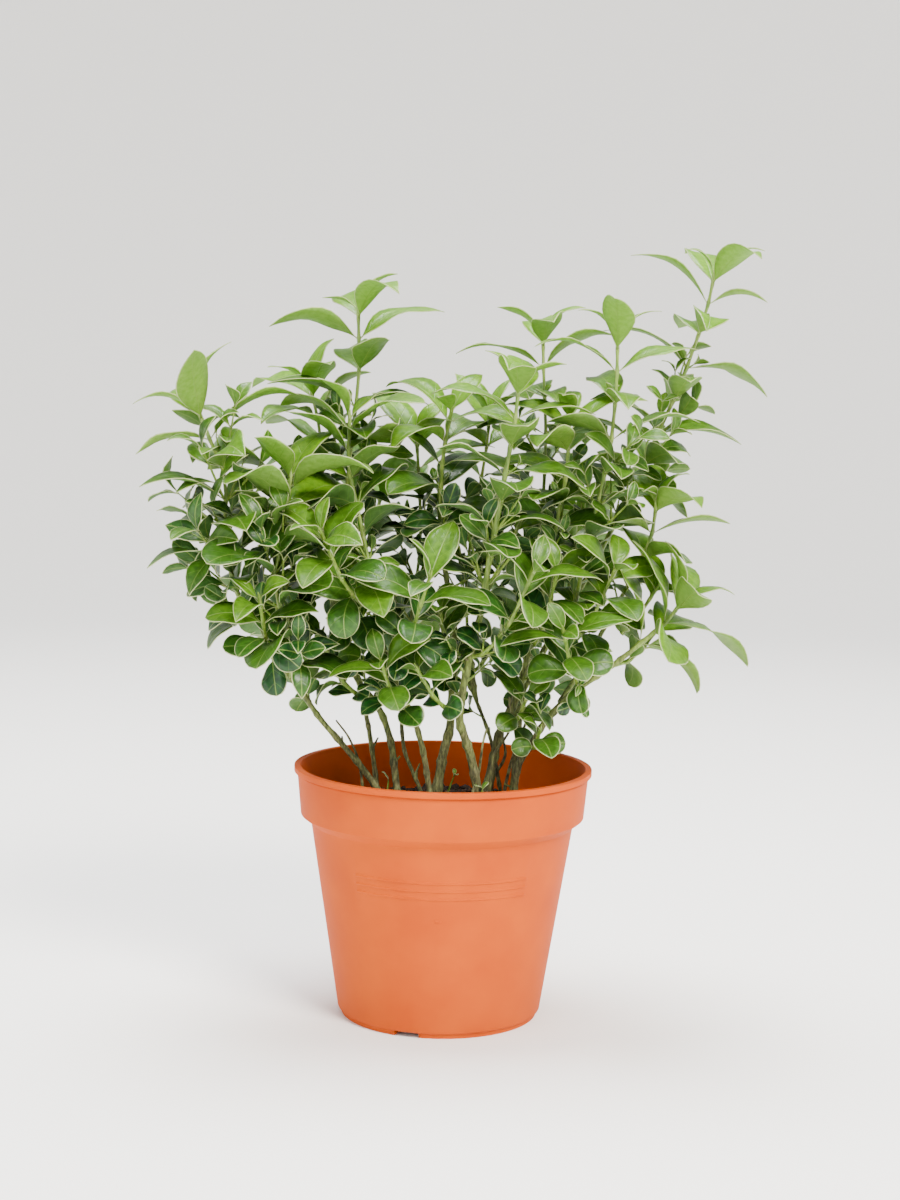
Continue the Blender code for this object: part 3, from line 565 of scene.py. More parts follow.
def merged(node):
    """A CAD node's mesh as a bmesh with its loose triangles joined."""
    bm = bmesh.new()
    bm.from_mesh(frame["nodes"][node].data)
    bmesh.ops.remove_doubles(bm, verts=bm.verts[:], dist=0.001 * MM)
    return bm


def in_order(verts):
    """Corners in an order that is the same in every run, so that sums over them agree."""
    return sorted(verts, key=lambda v: tuple(v.co))


def read_stem(start, left_out):
    """Centre and radius of each ring of a stem's solid, from its top ring to its foot."""
    stations = []
    seen = set(left_out) | set(start)
    ring = list(start)
    while ring:
        centre = sum((v.co for v in ring), Vector()) / len(ring)
        radius = sum((v.co - centre).length for v in ring) / len(ring)
        # A ring that has lost corners reaches into the next one, and is passed over.
        if len(stations) < 2 or radius < LOST_CORNERS * stations[-1][1]:
            stations.append((centre, radius))
        ring = in_order({e.other_vert(v) for v in ring for e in v.link_edges} - seen)
        seen.update(ring)
    return stations


def top_cap(bm):
    """The corners of the higher flat end of a stem's solid."""
    best, best_height = [], 0.0
    for start in bm.faces:
        flat, reached = {start}, [start]
        while reached:
            for edge in reached.pop().edges:
                for face in edge.link_faces:
                    if face not in flat and face.normal.dot(start.normal) > COPLANAR:
                        flat.add(face)
                        reached.append(face)
        corners = in_order({v for face in flat for v in face.verts})
        if len(corners) < 5:
            continue
        centre = sum((v.co for v in corners), Vector()) / len(corners)
        size = max((v.co - centre).length for v in corners)
        if size < CAP_SIZE and centre.z > best_height:
            best, best_height = corners, centre.z
    return best


def smooth_path(points, step):
    """Points and radii about one step apart on a smooth curve through (centre, radius) pairs."""
    first, last = points[0], points[-1]
    ends = [
        (2 * first[0] - points[1][0], first[1]), *points, (2 * last[0] - points[-2][0], last[1]),
    ]
    path = []
    for (a, _), (b, rb), (c, rc), (d, _) in zip(ends, ends[1:], ends[2:], ends[3:]):
        pieces = max(1, round((c - b).length / step))
        for i in range(pieces):
            t = i / pieces
            curve = 2 * b + (c - a) * t + (2 * a - 5 * b + 4 * c - d) * t**2
            curve += (3 * b - a - 3 * c + d) * t**3
            path.append((curve / 2, rb + (rc - rb) * t))
    path.append((last[0].copy(), last[1]))
    return path


def grow_stem(bm, path, sides, layer=None, values=None, seed=0.0, rough=0.0):
    """Extrudes a round stem ring by ring along a path. Its foot is left for close_stems."""
    unit = [Vector((math.cos(a), math.sin(a), 0)) for a in
            (math.tau * i / sides for i in range(sides))]
    made = bmesh.ops.create_circle(bm, segments=sides, radius=1.0, cap_ends=True)
    cap = made["verts"][0].link_faces[0]
    around = list(cap.verts)
    direction = (path[1][0] - path[0][0]).normalized()
    side = direction.orthogonal().normalized()
    for i, (centre, radius) in enumerate(path):
        ahead = path[min(i + 1, len(path) - 1)][0] - path[max(i - 1, 0)][0]
        if ahead.length > 1e-9:
            turn = direction.rotation_difference(ahead.normalized())
            direction = ahead.normalized()
            side = (turn @ side).normalized()
        other = direction.cross(side)
        if i:
            cap = bmesh.ops.extrude_discrete_faces(bm, faces=[cap])["faces"][0]
            around = list(cap.verts)
        for vert, u in zip(around, unit):
            wobble = 1.0
            if rough:
                at = centre * 260 + Vector((u.x * 1.6, u.y * 1.6, seed))
                wobble += rough * noise.noise(at)
            vert.co = centre + (side * u.x + other * u.y) * radius * wobble
            if layer:
                vert[layer] = values[i]


def close_stems(bm):
    """Closes the feet of all the stems in a bmesh, and turns their faces outwards."""
    bmesh.ops.holes_fill(bm, edges=[e for e in bm.edges if e.is_boundary], sides=0)
    bmesh.ops.recalc_face_normals(bm, faces=bm.faces[:])


# Bark of a young woody stem: thin, finely cracked lengthways, grey-brown with green showing
# through, and paler and greener towards the young wood. "age" is 1 at the foot and 0 at the top.
bark, tree = new_material("serissa_bark")
place = object_place(tree)
age = add(tree, "ShaderNodeAttribute", {}, attribute_name="age").outputs["Fac"]
along = add(tree, "ShaderNodeMapping", {"Vector": place, "Scale": (1.0, 1.0, 0.22)}).outputs[0]
cracks = noise_texture(tree, along, 900.0, 5.0, 0.65)
patches = noise_texture(tree, place, 130.0, 3.0)
old = ramp(tree, cracks, (0.36, "251C12"), (0.50, "4E4230"), (0.66, "7E7454"))
green_wood = ramp(tree, cracks, (0.36, "3C4A1C"), (0.64, "76863C"))
mottled = compute(tree, "MULTIPLY", compute(tree, "SUBTRACT", 1.30, age), patches)
surface(tree, principled(tree, {
    "Base Color": blend(tree, remap(tree, mottled, (0.02, 0.40)), old, green_wood),
    "Roughness": 0.78, "Normal": bump(tree, cracks, 0.7, 0.35 * MM),
}))

canes = sorted(n for n in frame["nodes"] if n.startswith(("cane_", "branch_")) and "shoot" not in n)
cane_paths = {}
for number, node in enumerate(canes):
    bm = merged(node)
    stations = read_stem(top_cap(bm), [])[::-1]
    bm.free()
    # The end runs a little way into the green shoot that grows on from it.
    lead = (stations[-1][0] - stations[-2][0]).normalized()
    stations.append((stations[-1][0] + lead * CANE_OVERRUN, stations[-1][1] * 0.92))
    if node.startswith("branch_"):
        inwards = (stations[0][0] - stations[1][0]).normalized()
        stations.insert(0, (stations[0][0] + inwards * BRANCH_ROOT, stations[0][1] * 1.25))
    path = cane_paths[node] = smooth_path(stations, CANE_STEP)
    draw = random.Random(number)
    runs = [0.0]
    for (a, _), (b, _) in zip(path, path[1:]):
        runs.append(runs[-1] + (b - a).length)
    nodes_at, next_node = [], NODE_SPACING * draw.uniform(0.4, 1.0)
    for run in runs:
        if run > next_node:
            nodes_at.append(next_node)
            next_node += NODE_SPACING * draw.uniform(0.75, 1.3)
    shaped, ages = [], []
    for (centre, radius), run in zip(path, runs):
        swell = sum(math.exp(-(((run - at) / NODE_RUN) ** 2)) for at in nodes_at)
        shaped.append((centre, radius * (BARE_SHARE + NODE_SWELL * swell)))
        ages.append(max(0.0, min(1.0, 1.0 - (centre.z - POT_TOP) / GREEN_ABOVE)))
    bm = bmesh.new()
    layer = bm.verts.layers.float.new("age")
    grow_stem(bm, shaped, CANE_SIDES, layer, ages, seed=number * 7.3, rough=0.16)
    close_stems(bm)
    cane = new_piece(f"{node}_wood", bm, bark)
    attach(cane, "root")
    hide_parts(node)

# ------------------------------------------------------------------ green shoots
# This year's growth: slim green stems that go on from the canes or leave their sides, with a
# swollen joint under every pair of leaves. They are grown with their leaves, below.

STEM_SIDES = 8
STEM_STEP = 2.0 * MM
STEM_ROOT = 1.6 * MM
STEM_TIP_RADIUS = 0.35 * MM
JOINT_RUN = 2.2 * MM

# Young herbaceous stem: pale yellow-green, softly striped lengthways and slightly translucent.
green_stem, tree = new_material("young_serissa_stem")
along = add(tree, "ShaderNodeMapping", {
    "Vector": object_place(tree), "Scale": (1.0, 1.0, 0.15),
}).outputs[0]
stripes = noise_texture(tree, along, 700.0, 3.0)
surface(tree, principled(tree, {
    "Base Color": ramp(tree, stripes, (0.35, "55721E"), (0.55, "748E32"), (0.72, "98A854")),
    "Roughness": 0.5, "Normal": bump(tree, stripes, 0.3, 0.15 * MM), "Subsurface Weight": 0.25,
    "Subsurface Radius": (0.5, 1.0, 0.25), "Subsurface Scale": 1 * MM,
}))

# ------------------------------------------------------------------ leaves
# Opposite pairs of variegated leaves: green blades folded a little along a pale midrib, with
# cream margins. Upper ones are long, pointed and light green; lower ones are short, round
# and dark. Each is a small sheet that gets its thickness from Solidify.

LEAF_THICKNESS = 0.32 * MM
WIDEST_AT = 0.52
LEAF_KINDS = {"full": (13, 4), "middling": (9, 4), "small": (7, 2)}  # cells along and across
PATTERN_SPAN = 50 * MM  # one width of the leaf's own map
VEIN_SPACING = 3.4 * MM
THIN_EDGE = 0.8 * MM  # a leaf's solid is thinner than this
SLIM_LEAF = 0.34  # width over length of the most pointed leaves
ROUND_LEAF_SPAN = 0.26
PETIOLE = 2.2 * MM
PETIOLE_HALF_WIDTH = 0.45 * MM
FULL_MARGIN_WIDTH = 11 * MM  # leaves as wide as this have the full margin
CELL = 3.0 * MM
LEAF_GAP = 2.2 * MM
LEAF_ROOT = 0.4 * MM


def find_leaves(bm):
    """Base, widest place, tip, and width of each leaf of a shoot's solid.

    A leaf's tip has four edges, to a ring that is much wider than it is thick."""
    found = []
    for tip in bm.verts:
        if len(tip.link_edges) != 4 or len(tip.link_faces) != 4:
            continue
        sides = [[v for v in face.verts if v is not tip] for face in tip.link_faces]
        sides.sort(key=lambda pair: (pair[0].co - pair[1].co).length)
        lengths = [(a.co - b.co).length for a, b in sides]
        if lengths[1] > THIN_EDGE or lengths[2] < 2.5 * lengths[1]:
            continue
        ring = {v for pair in sides for v in pair}
        seat = {e.other_vert(v) for v in ring for e in v.link_edges} - ring - {tip}
        base = sum((v.co for v in in_order(seat)), Vector()) / len(seat)
        middle = sum((v.co for v in in_order(ring)), Vector()) / len(ring)
        across = (sides[3][0].co - sides[3][1].co).normalized()
        found.append((base, middle, tip.co.copy(), across, lengths[3], ring | {tip}))
    return found


def leaf_blade(bm, layers, leaf, tone, draw, kind="full"):
    """One leaf as a grid bent along its arch, tapered to its outline and folded."""
    base, middle, tip, across, up, width = leaf
    uv, edge_layer, tone_layer = layers
    along_steps, across_steps = LEAF_KINDS[kind]
    length = (middle - base).length + (tip - middle).length
    slim = width / max(length, 1e-6)
    # Slim leaves run out to a point, and wide ones have a blunt round end.
    rounder = min(1.0, max(0.0, (slim - SLIM_LEAF) / ROUND_LEAF_SPAN))
    base_power = 1.02 - 0.20 * rounder
    tip_power = 1.30 - 0.74 * rounder
    peak = base_power / (base_power + tip_power)
    tallest = peak**base_power * (1 - peak) ** tip_power
    petiole = min(0.10, PETIOLE / length)
    # The control point that takes a quadratic curve through the leaf's widest place.
    t = WIDEST_AT
    control = (middle - (1 - t) ** 2 * base - t**2 * tip) / (2 * t * (1 - t))
    fold = draw.uniform(0.10, 0.42)
    wave = draw.uniform(0.04, 0.16)
    phase = draw.uniform(0, math.tau)
    twist = draw.uniform(-0.22, 0.22)
    recurve = draw.uniform(-0.02, 0.09) * length
    tone = min(1.0, max(0.0, tone + draw.uniform(-0.12, 0.12)))
    margin_scale = min(1.0, max(0.4, width / FULL_MARGIN_WIDTH))
    made = bmesh.ops.create_grid(
        bm, x_segments=across_steps, y_segments=along_steps, size=1.0
    )["verts"]
    for vert in made:
        x = vert.co.x
        share = (vert.co.y + 1) / 2
        # The rows of cells are closer together towards the stalk and the tip.
        t = 0.55 * share + 0.45 * (1 - math.cos(math.pi * share)) / 2
        s = max(0.0, (t - petiole) / (1 - petiole))
        half = width / 2 * (s**base_power) * (1 - s) ** tip_power / tallest
        half = max(half, PETIOLE_HALF_WIDTH * min(1.0, (1 - t) * 9))
        centre = (1 - t) ** 2 * base + 2 * t * (1 - t) * control + t**2 * tip
        forward = (2 * (1 - t) * (control - base) + 2 * t * (tip - control)).normalized()
        side = (across - forward * across.dot(forward)).normalized()
        side = Matrix.Rotation(twist * (t - 0.3), 3, forward) @ side
        normal = side.cross(forward)
        if normal.dot(up) < 0:
            normal = -normal
        bend = fold * abs(x) ** 1.15 * (1 - 0.5 * t)
        ripple = wave * x * x * math.sin(9.0 * t + phase + (1.7 if x > 0 else 0.0))
        lift = half * (bend + ripple) - recurve * max(0.0, t - 0.55) ** 2 / 0.2
        vert.co = centre + side * half * x * math.cos(bend) + normal * lift
        vert[edge_layer] = min(half * (1 - abs(x)), (1 - t) * length) / (MM * margin_scale)
        vert[tone_layer] = tone
        for loop in vert.link_loops:
            loop[uv].uv = (0.5 + half * x / PATTERN_SPAN, t * length / PATTERN_SPAN)
    faces = {f for v in made for f in v.link_faces}
    for face in faces:
        face.normal_update()
    if sum(face.normal.dot(up) for face in faces) < 0:
        bmesh.ops.reverse_faces(bm, faces=list(faces))
    bmesh.ops.remove_doubles(bm, verts=made, dist=0.03 * MM)


def direction_at(path, place):
    """Direction of a stem's path, foot to tip, nearest to a place, and the run left to its tip."""
    nearest = min(range(len(path)), key=lambda i: (path[i][0] - place).length)
    low, high = max(nearest - 1, 0), min(nearest + 1, len(path) - 1)
    left = sum((path[i + 1][0] - path[i][0]).length for i in range(nearest, len(path) - 1))
    return (path[high][0] - path[low][0]).normalized(), left


taken = {}  # points on the leaves so far and whose they are, by the 3 mm cell that they are in


def nearby(place):
    """Points already taken in the cells around a place."""
    cell = [math.floor(v / CELL) for v in place]
    for x in (-1, 0, 1):
        for y in (-1, 0, 1):
            for z in (-1, 0, 1):
                yield from taken.get((cell[0] + x, cell[1] + y, cell[2] + z), ())


def is_clear(places, gap, owner=None):
    """Whether these places all keep a gap from the points taken by anything else."""
    return all(
        (other - place).length > gap
        for place in places
        for other, whose in nearby(place)
        if whose is None or whose != owner
    )


def take(places, owner=None):
    """Puts these places down as taken."""
    for place in places:
        cell = tuple(math.floor(v / CELL) for v in place)
        taken.setdefault(cell, []).append((place, owner))


def inside_box(place):
    """Whether a place is inside the whole plant's box."""
    low, high = cad_box
    return all(low[i] < place[i] < high[i] for i in range(3))


def leaf_points(base, middle, tip, across, width):
    """Points over a leaf's blade, past its stalk."""
    spine = [base.lerp(middle, 0.5), base.lerp(middle, 0.8), middle, middle.lerp(tip, 0.4)]
    sides = [p + across * width * share for p, share in
             ((spine[1], 0.4), (spine[2], 0.45), (spine[1], -0.4), (spine[2], -0.45))]
    return [*spine, middle.lerp(tip, 0.75), tip, *sides]


def leaf_pair(at, axis, side, size, slim, lift_range, draw):
    """The places of two opposite leaves at a joint of a small twig."""
    pair = []
    for way in (1, -1):
        out = side * way
        lift = math.radians(draw.uniform(*lift_range))
        drop = lift - math.radians(draw.uniform(15, 42))
        rise = out * math.cos(lift) + axis * math.sin(lift)
        fall = out * math.cos(drop) + axis * math.sin(drop)
        length = size * draw.uniform(0.85, 1.15)
        middle = at + rise * length * WIDEST_AT
        tip = middle + fall * length * (1 - WIDEST_AT)
        across = axis.cross(out).normalized()
        pair.append((at, middle, tip, across, length * slim * draw.uniform(0.88, 1.12)))
    return pair


SPRIG_SIDES = 5
SPRIG_STEP = 1.8 * MM
SPRIG_GAP = 1.4 * MM
SPRIG_ROOT = 0.8 * MM
SPRIG_TIP_RADIUS = 0.32 * MM
LOWEST_LEAF = POT_TOP - 6 * MM


def random_vector(draw, reach):
    return Vector([draw.uniform(-reach, reach) for _ in range(3)])


def sprig(
    stem_bm, leaf_bm, layers, start, direction, up, length, pairs, leaf_length, slim, tone, draw
):
    """A side twig in a leaf's joint, with small leaf pairs each square to the last.

    Its leaves are left out where they would cut through leaves that are already there."""
    lean = random_vector(draw, 0.15)
    end = start + (direction + lean).normalized() * length + up * length * 0.22
    bend = start.lerp(end, 0.5) + direction * 0.06 * length
    points = [start.lerp(end, 0.6), end]
    if not (inside_box(end) and is_clear(points, SPRIG_GAP)):
        return
    axis = (end - start).normalized()
    side = axis.cross(random_vector(draw, 1)).normalized()
    for pair in range(pairs):
        at = start.lerp(end, (pair + 1) / pairs)
        newest = pair == pairs - 1
        size = leaf_length * MM * (0.74 if newest else 1.0)
        lifts = (50, 68) if newest else (22, 48)
        best, best_turn = [], side
        for turn in (0, 30, -30, 60):
            way = Matrix.Rotation(math.radians(turn), 3, axis) @ side
            tried = [
                leaf for leaf in leaf_pair(at, axis, way, size, slim, lifts, draw)
                if leaf[2].z > LOWEST_LEAF and inside_box(leaf[2])
                and is_clear(leaf_points(*leaf), LEAF_GAP)
            ]
            if len(tried) > len(best):
                best, best_turn = tried, way
            if len(best) == 2:
                break
        for leaf in best:
            kind = "middling" if size > 14 * MM else "small"
            leaf_blade(leaf_bm, layers, (*leaf[:4], axis, leaf[4]), tone, draw, kind)
            points += leaf_points(*leaf)
        side = axis.cross(best_turn).normalized()
    if len(points) > 2:
        take(points)
        thick = 0.42 + 0.008 * length / MM
        path = smooth_path([
            (start - direction * SPRIG_ROOT, (thick + 0.1) * MM), (bend, thick * MM),
            (end, SPRIG_TIP_RADIUS),
        ], SPRIG_STEP)
        grow_stem(stem_bm, path, SPRIG_SIDES)


# A serissa leaf is leathery with a thin clear wax: deep green above with a cream margin and
# midrib and faint arched side veins, and paler and duller beneath. New leaves are yellow-green
# and let light through. "edge" is the distance to the margin in millimetres, "tone" is 0 in
# old leaves and 1 in new ones, and the leaf's own map gives true distances on the blade.
def leaf_material(name, old_colours, new_colours, roughness, translucency, margin_width):
    material, tree = new_material(name)
    place = object_place(tree)
    tone = add(tree, "ShaderNodeAttribute", {}, attribute_name="tone").outputs["Fac"]
    edge = add(tree, "ShaderNodeAttribute", {}, attribute_name="edge").outputs["Fac"]
    leaf_map = add(tree, "ShaderNodeUVMap", {}, uv_map="leaf_map").outputs["UV"]
    split = add(tree, "ShaderNodeSeparateXYZ", {"Vector": leaf_map})
    aside = compute(tree, "ABSOLUTE", compute(tree, "SUBTRACT", split.outputs["X"], 0.5))
    slant = compute(tree, "MULTIPLY_ADD", aside, -0.95, split.outputs["Y"])
    vein_row = compute(tree, "MULTIPLY", slant, PATTERN_SPAN / VEIN_SPACING)
    from_vein = compute(tree, "PINGPONG", vein_row, 1.0)
    vein = remap(tree, from_vein, (0.0, 0.16), (1.0, 0.0), "SMOOTHSTEP")
    rib_edges = (0.10 * MM / PATTERN_SPAN, 0.45 * MM / PATTERN_SPAN)
    midrib = remap(tree, aside, rib_edges, (1.0, 0.0), "SMOOTHSTEP")
    mottle = noise_texture(tree, place, 420.0, 4.0)
    broad = noise_texture(tree, place, 75.0, 2.0)
    old, new = (
        ramp(tree, mottle, (0.3, dark), (0.7, light)) for dark, light in (old_colours, new_colours)
    )
    blade = blend(tree, tone, old, new)
    veined = blend(tree, compute(tree, "MULTIPLY", vein, 0.24), blade, linear("6A9430"))
    ribbed = blend(tree, compute(tree, "MULTIPLY", midrib, 0.62), veined, linear("84A046"))
    # The cream margin is uneven: it is laid down in patches along the edge.
    uneven = compute(tree, "MULTIPLY_ADD", broad, 0.7, -0.35)
    margin = remap(
        tree, compute(tree, "SUBTRACT", edge, uneven), (margin_width * 0.6, margin_width),
        (1.0, 0.0), "SMOOTHSTEP",
    )
    variegated = blend(tree, margin, ribbed, linear("BEC88C"))
    relief = compute(tree, "MULTIPLY_ADD", vein, -0.6, mottle)
    grooves = bump(tree, compute(tree, "MULTIPLY_ADD", midrib, -1.4, relief), 0.5, 0.3 * MM)
    skin = principled(tree, {
        "Base Color": variegated, "Roughness": roughness, "Normal": grooves, "IOR": 1.45,
    })
    glow = add(tree, "ShaderNodeBsdfTranslucent", {
        "Color": blend(tree, 0.5, variegated, linear("88B808")), "Normal": grooves,
    }).outputs[0]
    # New blades are thinner and let more light through than old ones.
    thin = compute(tree, "MULTIPLY_ADD", tone, 0.26, translucency - 0.06)
    surface(tree, add(tree, "ShaderNodeMixShader", {0: thin, 1: skin, 2: glow}).outputs[0])
    return material


leaf_top = leaf_material(
    "waxy_serissa_leaf", ("08280E", "165016"), ("5A8E10", "86B41C"), 0.36, 0.24, 0.44
)
leaf_back = leaf_material(
    "serissa_leaf_underside", ("2A5420", "3C682A"), ("78A034", "92B64A"), 0.6, 0.24, 0.38
)
leaf_rim = leaf_material(
    "cream_leaf_margin", ("AEB87C", "C4CC98"), ("A6B866", "BCC886"), 0.45, 0.30, 5.0
)

SPURS = 34
BARE_TWIGS = 5
TWIG_SIDES = 6
FOOT_SPROUTS = 7
OUTER_SHOOTS = ("shoot_left", "shoot_left_curved")  # they stand free and carry bigger sprigs
GROWTHS = (1.36, 1.24, 1.12, 1.0, 0.9)
SPRIG_FREE_RUN = 34 * MM  # no sprigs grow nearer than this to a shoot's tip
LONG_SPRIG_RUN = 62 * MM
LONG_SPRIG_HEIGHT = POT_TOP + 50 * MM
PLANT_TOP = cad_box[1].z

shoots = sorted(n for n in frame["nodes"] if "shoot" in n)


def leaf_age_tone(place, left, is_side):
    """How new a leaf looks, from its height, its place in the bush and the run to the tip."""
    height = (place.z - POT_TOP) / (PLANT_TOP - POT_TOP)
    outward = min(1.0, max(0.0, place.x, -place.x * 0.7) / (110 * MM))
    young = max(0.0, 1 - left / (45 * MM)) * (0.35 if is_side else 0.6)
    tone = 0.62 * max(0.0, height - 0.18) + 0.20 * outward + young
    return min(0.85, tone - (0.08 if is_side else 0.0))


def new_leaf_mesh():
    """An empty bmesh for leaves, and the layers that their material reads."""
    leaf_bm = bmesh.new()
    return leaf_bm, (
        leaf_bm.loops.layers.uv.new("leaf_map"),
        leaf_bm.verts.layers.float.new("edge"),
        leaf_bm.verts.layers.float.new("tone"),
    )


def finish_leaves(name, leaf_bm, *nodes):
    """The piece of a shoot's leaves, thickened, with cream edges."""
    foliage = new_piece(name, leaf_bm, leaf_top, leaf_back, leaf_rim)
    thicken = foliage.modifiers.new("blade", "SOLIDIFY")
    thicken.thickness = LEAF_THICKNESS
    thicken.offset = -1.0
    thicken.use_even_offset = False
    thicken.material_offset = 1
    thicken.material_offset_rim = 2
    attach(foliage, "root")
    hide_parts(*nodes)


def finish_stems(name, stem_bm, *nodes):
    """The piece of a shoot's stem and its sprigs' stems."""
    close_stems(stem_bm)
    stem = new_piece(name, stem_bm, green_stem)
    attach(stem, "root")
    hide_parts(*nodes)


# First every shoot's own stem and leaves are laid, then the sprigs go where there is room.
grown = []
for number, node in enumerate(shoots):
    draw = random.Random(100 + number)
    bm = merged(node)
    leaves = find_leaves(bm)
    leaf_verts = {v for leaf in leaves for v in leaf[5]}
    apex = max((v for v in bm.verts if v not in leaf_verts), key=lambda v: v.co.z)
    stations = read_stem([apex], leaf_verts)[::-1]
    rings = stations[:-1]
    lead = (rings[1][0] - rings[0][0]).normalized()
    foot = (rings[0][0] - lead * STEM_ROOT, rings[0][1])
    path = smooth_path([foot, *rings, (stations[-1][0], STEM_TIP_RADIUS)], STEM_STEP)
    bases = [leaf[0] for leaf in leaves]
    shaped = []
    for centre, radius in path:
        swell = max(
            (math.exp(-(((centre - base).length / JOINT_RUN) ** 2)) for base in bases), default=0
        )
        shaped.append((centre, radius * (0.86 + 0.35 * swell)))
    stem_bm = bmesh.new()
    grow_stem(stem_bm, shaped, STEM_SIDES)
    for index, (base, middle, tip, across, width, _) in enumerate(leaves):
        take(leaf_points(base, middle, tip, across, width), (node, index))
    take([centre for centre, _ in path])
    bm.free()
    grown.append((node, stem_bm, *new_leaf_mesh(), path, leaves, draw))

# A leaf is let out to its full size where that leaves the others clear.
jointed = {}
for node, _, leaf_bm, layers, path, leaves, draw in grown:
    is_side = "side_shoot" in node
    joints = jointed[node] = []
    for index, (base, middle, tip, across, width, _) in enumerate(leaves):
        direction, left = direction_at(path, base)
        tone = leaf_age_tone(base, left, is_side)
        # The low shoot at the right stands in the light and is all new growth.
        if node == "shoot_low_right" or node.startswith("branch_low_right"):
            tone = max(tone, 0.75)
        # The oldest leaves, round the feet of the shoots, stayed small and round.
        low = min(1.0, max(0.0, 1 - (base.z - POT_TOP - 20 * MM) / (75 * MM)))
        for growth in GROWTHS:
            growth *= 1 - 0.42 * low
            wider = growth * (draw.uniform(0.78, 0.92) if is_side else draw.uniform(0.86, 1.0))
            wider *= 1 + 0.22 * low
            grown_middle = base + (middle - base) * growth
            grown_tip = base + (tip - base) * growth
            wide = width * wider
            places = leaf_points(base, grown_middle, grown_tip, across, wide)
            if inside_box(grown_tip) and is_clear(places[1:], LEAF_GAP, (node, index)):
                break
        inside = base - (middle - base).normalized() * LEAF_ROOT
        leaf = (inside, grown_middle, grown_tip, across, direction, wide)
        leaf_blade(leaf_bm, layers, leaf, tone, draw)
        take(places, (node, index))
        joints.append((base, middle, direction, left, tone))

# Long sprigs stand in the joints of the older wood, and short ones in most of the others.
for node, stem_bm, leaf_bm, layers, _, _, draw in grown:
    outer = node in OUTER_SHOOTS
    for base, middle, direction, left, tone in jointed[node]:
        if left < SPRIG_FREE_RUN:
            continue
        depth = min(1.0, left / (90 * MM))
        out = (middle - base).normalized()
        around = direction.cross(out).normalized()
        if outer or (left > LONG_SPRIG_RUN and base.z > LONG_SPRIG_HEIGHT):
            for _ in range(2 if base.x < 30 * MM else 1):
                turn = around * draw.uniform(-1.1, 1.1)
                aim = out * draw.uniform(0.5, 1.0) + turn + direction * draw.uniform(0.4, 1.1)
                length = draw.uniform(9, 28)
                sprig(
                    stem_bm, leaf_bm, layers, base, aim.normalized(), direction, length * MM,
                    1 + int(length / 12), draw.uniform(20, 29) if outer else draw.uniform(14, 23),
                    draw.uniform(0.42, 0.54), tone - 0.08, draw,
                )
        if draw.random() < 0.65:
            aim = out + around * draw.uniform(-0.3, 0.3) + direction * draw.uniform(0.5, 1.0)
            sprig(
                stem_bm, leaf_bm, layers, base, aim.normalized(), direction,
                draw.uniform(2.5, 7) * MM, 1, draw.uniform(7, 11) + 4.0 * depth * draw.random(),
                draw.uniform(0.36, 0.5), tone, draw,
            )

# Short leafy spurs and stubs of old twigs stand on the canes.
spur_stem_bm = bmesh.new()
spur_leaf_bm, spur_layers = new_leaf_mesh()
wood_bm = bmesh.new()
wood_layer = wood_bm.verts.layers.float.new("age")
draw = random.Random(9)


def cane_joint(upper_half):
    """A random place on a random cane, the cane's radius there, and the ways on and outwards."""
    path = cane_paths[draw.choice(canes)]
    at = draw.randrange(len(path) // 2 if upper_half else 4, len(path) - 1)
    centre, radius = path[at]
    direction = (path[at + 1][0] - centre).normalized()
    out = direction.cross(random_vector(draw, 1)).normalized()
    return centre, radius, direction, out


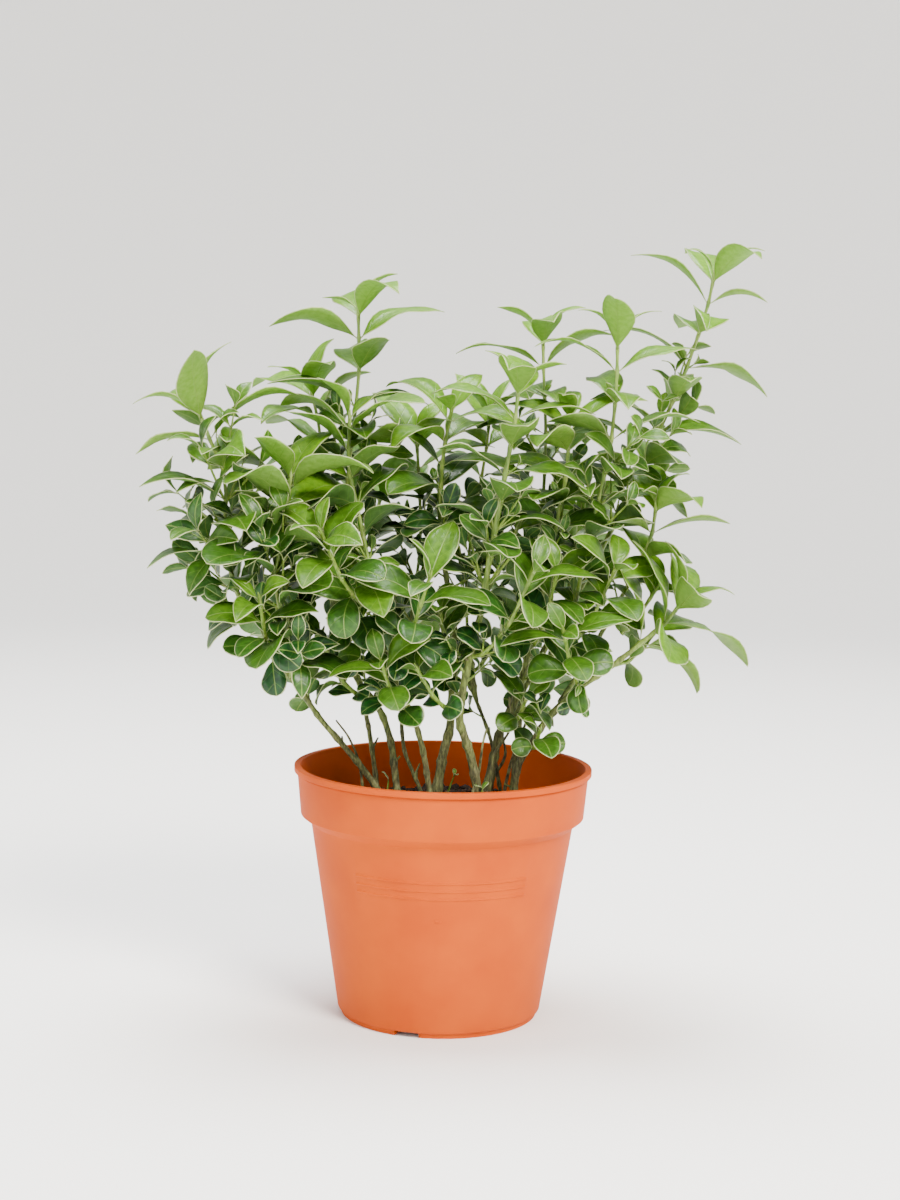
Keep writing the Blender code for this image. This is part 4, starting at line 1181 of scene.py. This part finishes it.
for _ in range(SPURS):
    centre, radius, direction, out = cane_joint(True)
    aim = (out + direction * draw.uniform(0.2, 0.9)).normalized()
    length = draw.uniform(5, 22)
    sprig(
        spur_stem_bm, spur_leaf_bm, spur_layers, centre + out * radius * 0.6, aim,
        Vector((0, 0, 1)), length * MM, 1 + int(length / 9), draw.uniform(9, 15),
        draw.uniform(0.5, 0.68), 0.02, draw,
    )
for _ in range(SPURS):
    centre, radius, direction, out = cane_joint(False)
    length = draw.uniform(2.5, 9) * MM
    end = centre + (out + direction * draw.uniform(0.3, 1.2)).normalized() * (length + radius)
    if inside_box(end) and end.xy.length < BODY_TOP_RADIUS:
        stub = smooth_path([(centre, 0.8 * MM), (end, 0.45 * MM)], 1.5 * MM)
        grow_stem(wood_bm, stub, TWIG_SIDES, wood_layer, [0.9] * len(stub), rough=0.3)

# Thin dead twigs rise from the mix among the canes.
for _ in range(BARE_TWIGS):
    turn, out = draw.uniform(0, math.tau), draw.uniform(14, 44) * MM
    foot = Vector((out * math.cos(turn), out * 0.6 * math.sin(turn), MIX_EDGE - 4 * MM))
    lean = Vector((foot.x * draw.uniform(0.2, 0.9), foot.y * 0.5, draw.uniform(45, 85) * MM))
    route = [(foot, 1.1 * MM)]
    for share in (0.3, 0.55, 0.8, 1.0):
        kink = random_vector(draw, 3) * MM
        route.append((foot + lean * share + kink, (1.1 - 0.6 * share) * MM))
    twig = smooth_path(route, 2.0 * MM)
    grow_stem(wood_bm, twig, TWIG_SIDES, wood_layer, [1.0] * len(twig), rough=0.25)
close_stems(wood_bm)
twigs = new_piece("old_twigs_and_stubs", wood_bm, bark)
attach(twigs, "root")

# Tiny sprouts come up at the feet of the canes.
for _ in range(FOOT_SPROUTS):
    path = cane_paths[draw.choice(canes)]
    centre = min(path, key=lambda p: abs(p[0].z - MIX_TOP))[0]
    turn = draw.uniform(0, math.tau)
    foot = centre + Vector((math.cos(turn), math.sin(turn), 0)) * draw.uniform(3, 7) * MM
    foot.z = mix_height(foot.x, foot.y) - MM
    aim = Vector((draw.uniform(-0.4, 0.4), draw.uniform(-0.4, 0.4), 1)).normalized()
    length = draw.uniform(5, 13)
    sprig(
        spur_stem_bm, spur_leaf_bm, spur_layers, foot, aim, aim, length * MM, 1 + int(length / 8),
        draw.uniform(4.5, 7.5), draw.uniform(0.5, 0.65), 0.3, draw,
    )

for node, stem_bm, leaf_bm, *_ in grown:
    finish_stems(f"{node}_stem", stem_bm, node)
    finish_leaves(f"{node}_leaves", leaf_bm, node)
finish_stems("cane_spur_stems", spur_stem_bm)
finish_leaves("cane_spur_leaves", spur_leaf_bm)

# ------------------------------------------------------------------ finish
size = {
    "cad": [list(corner) for corner in cad_box],
    "visual": [list(corner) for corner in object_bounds()],
}
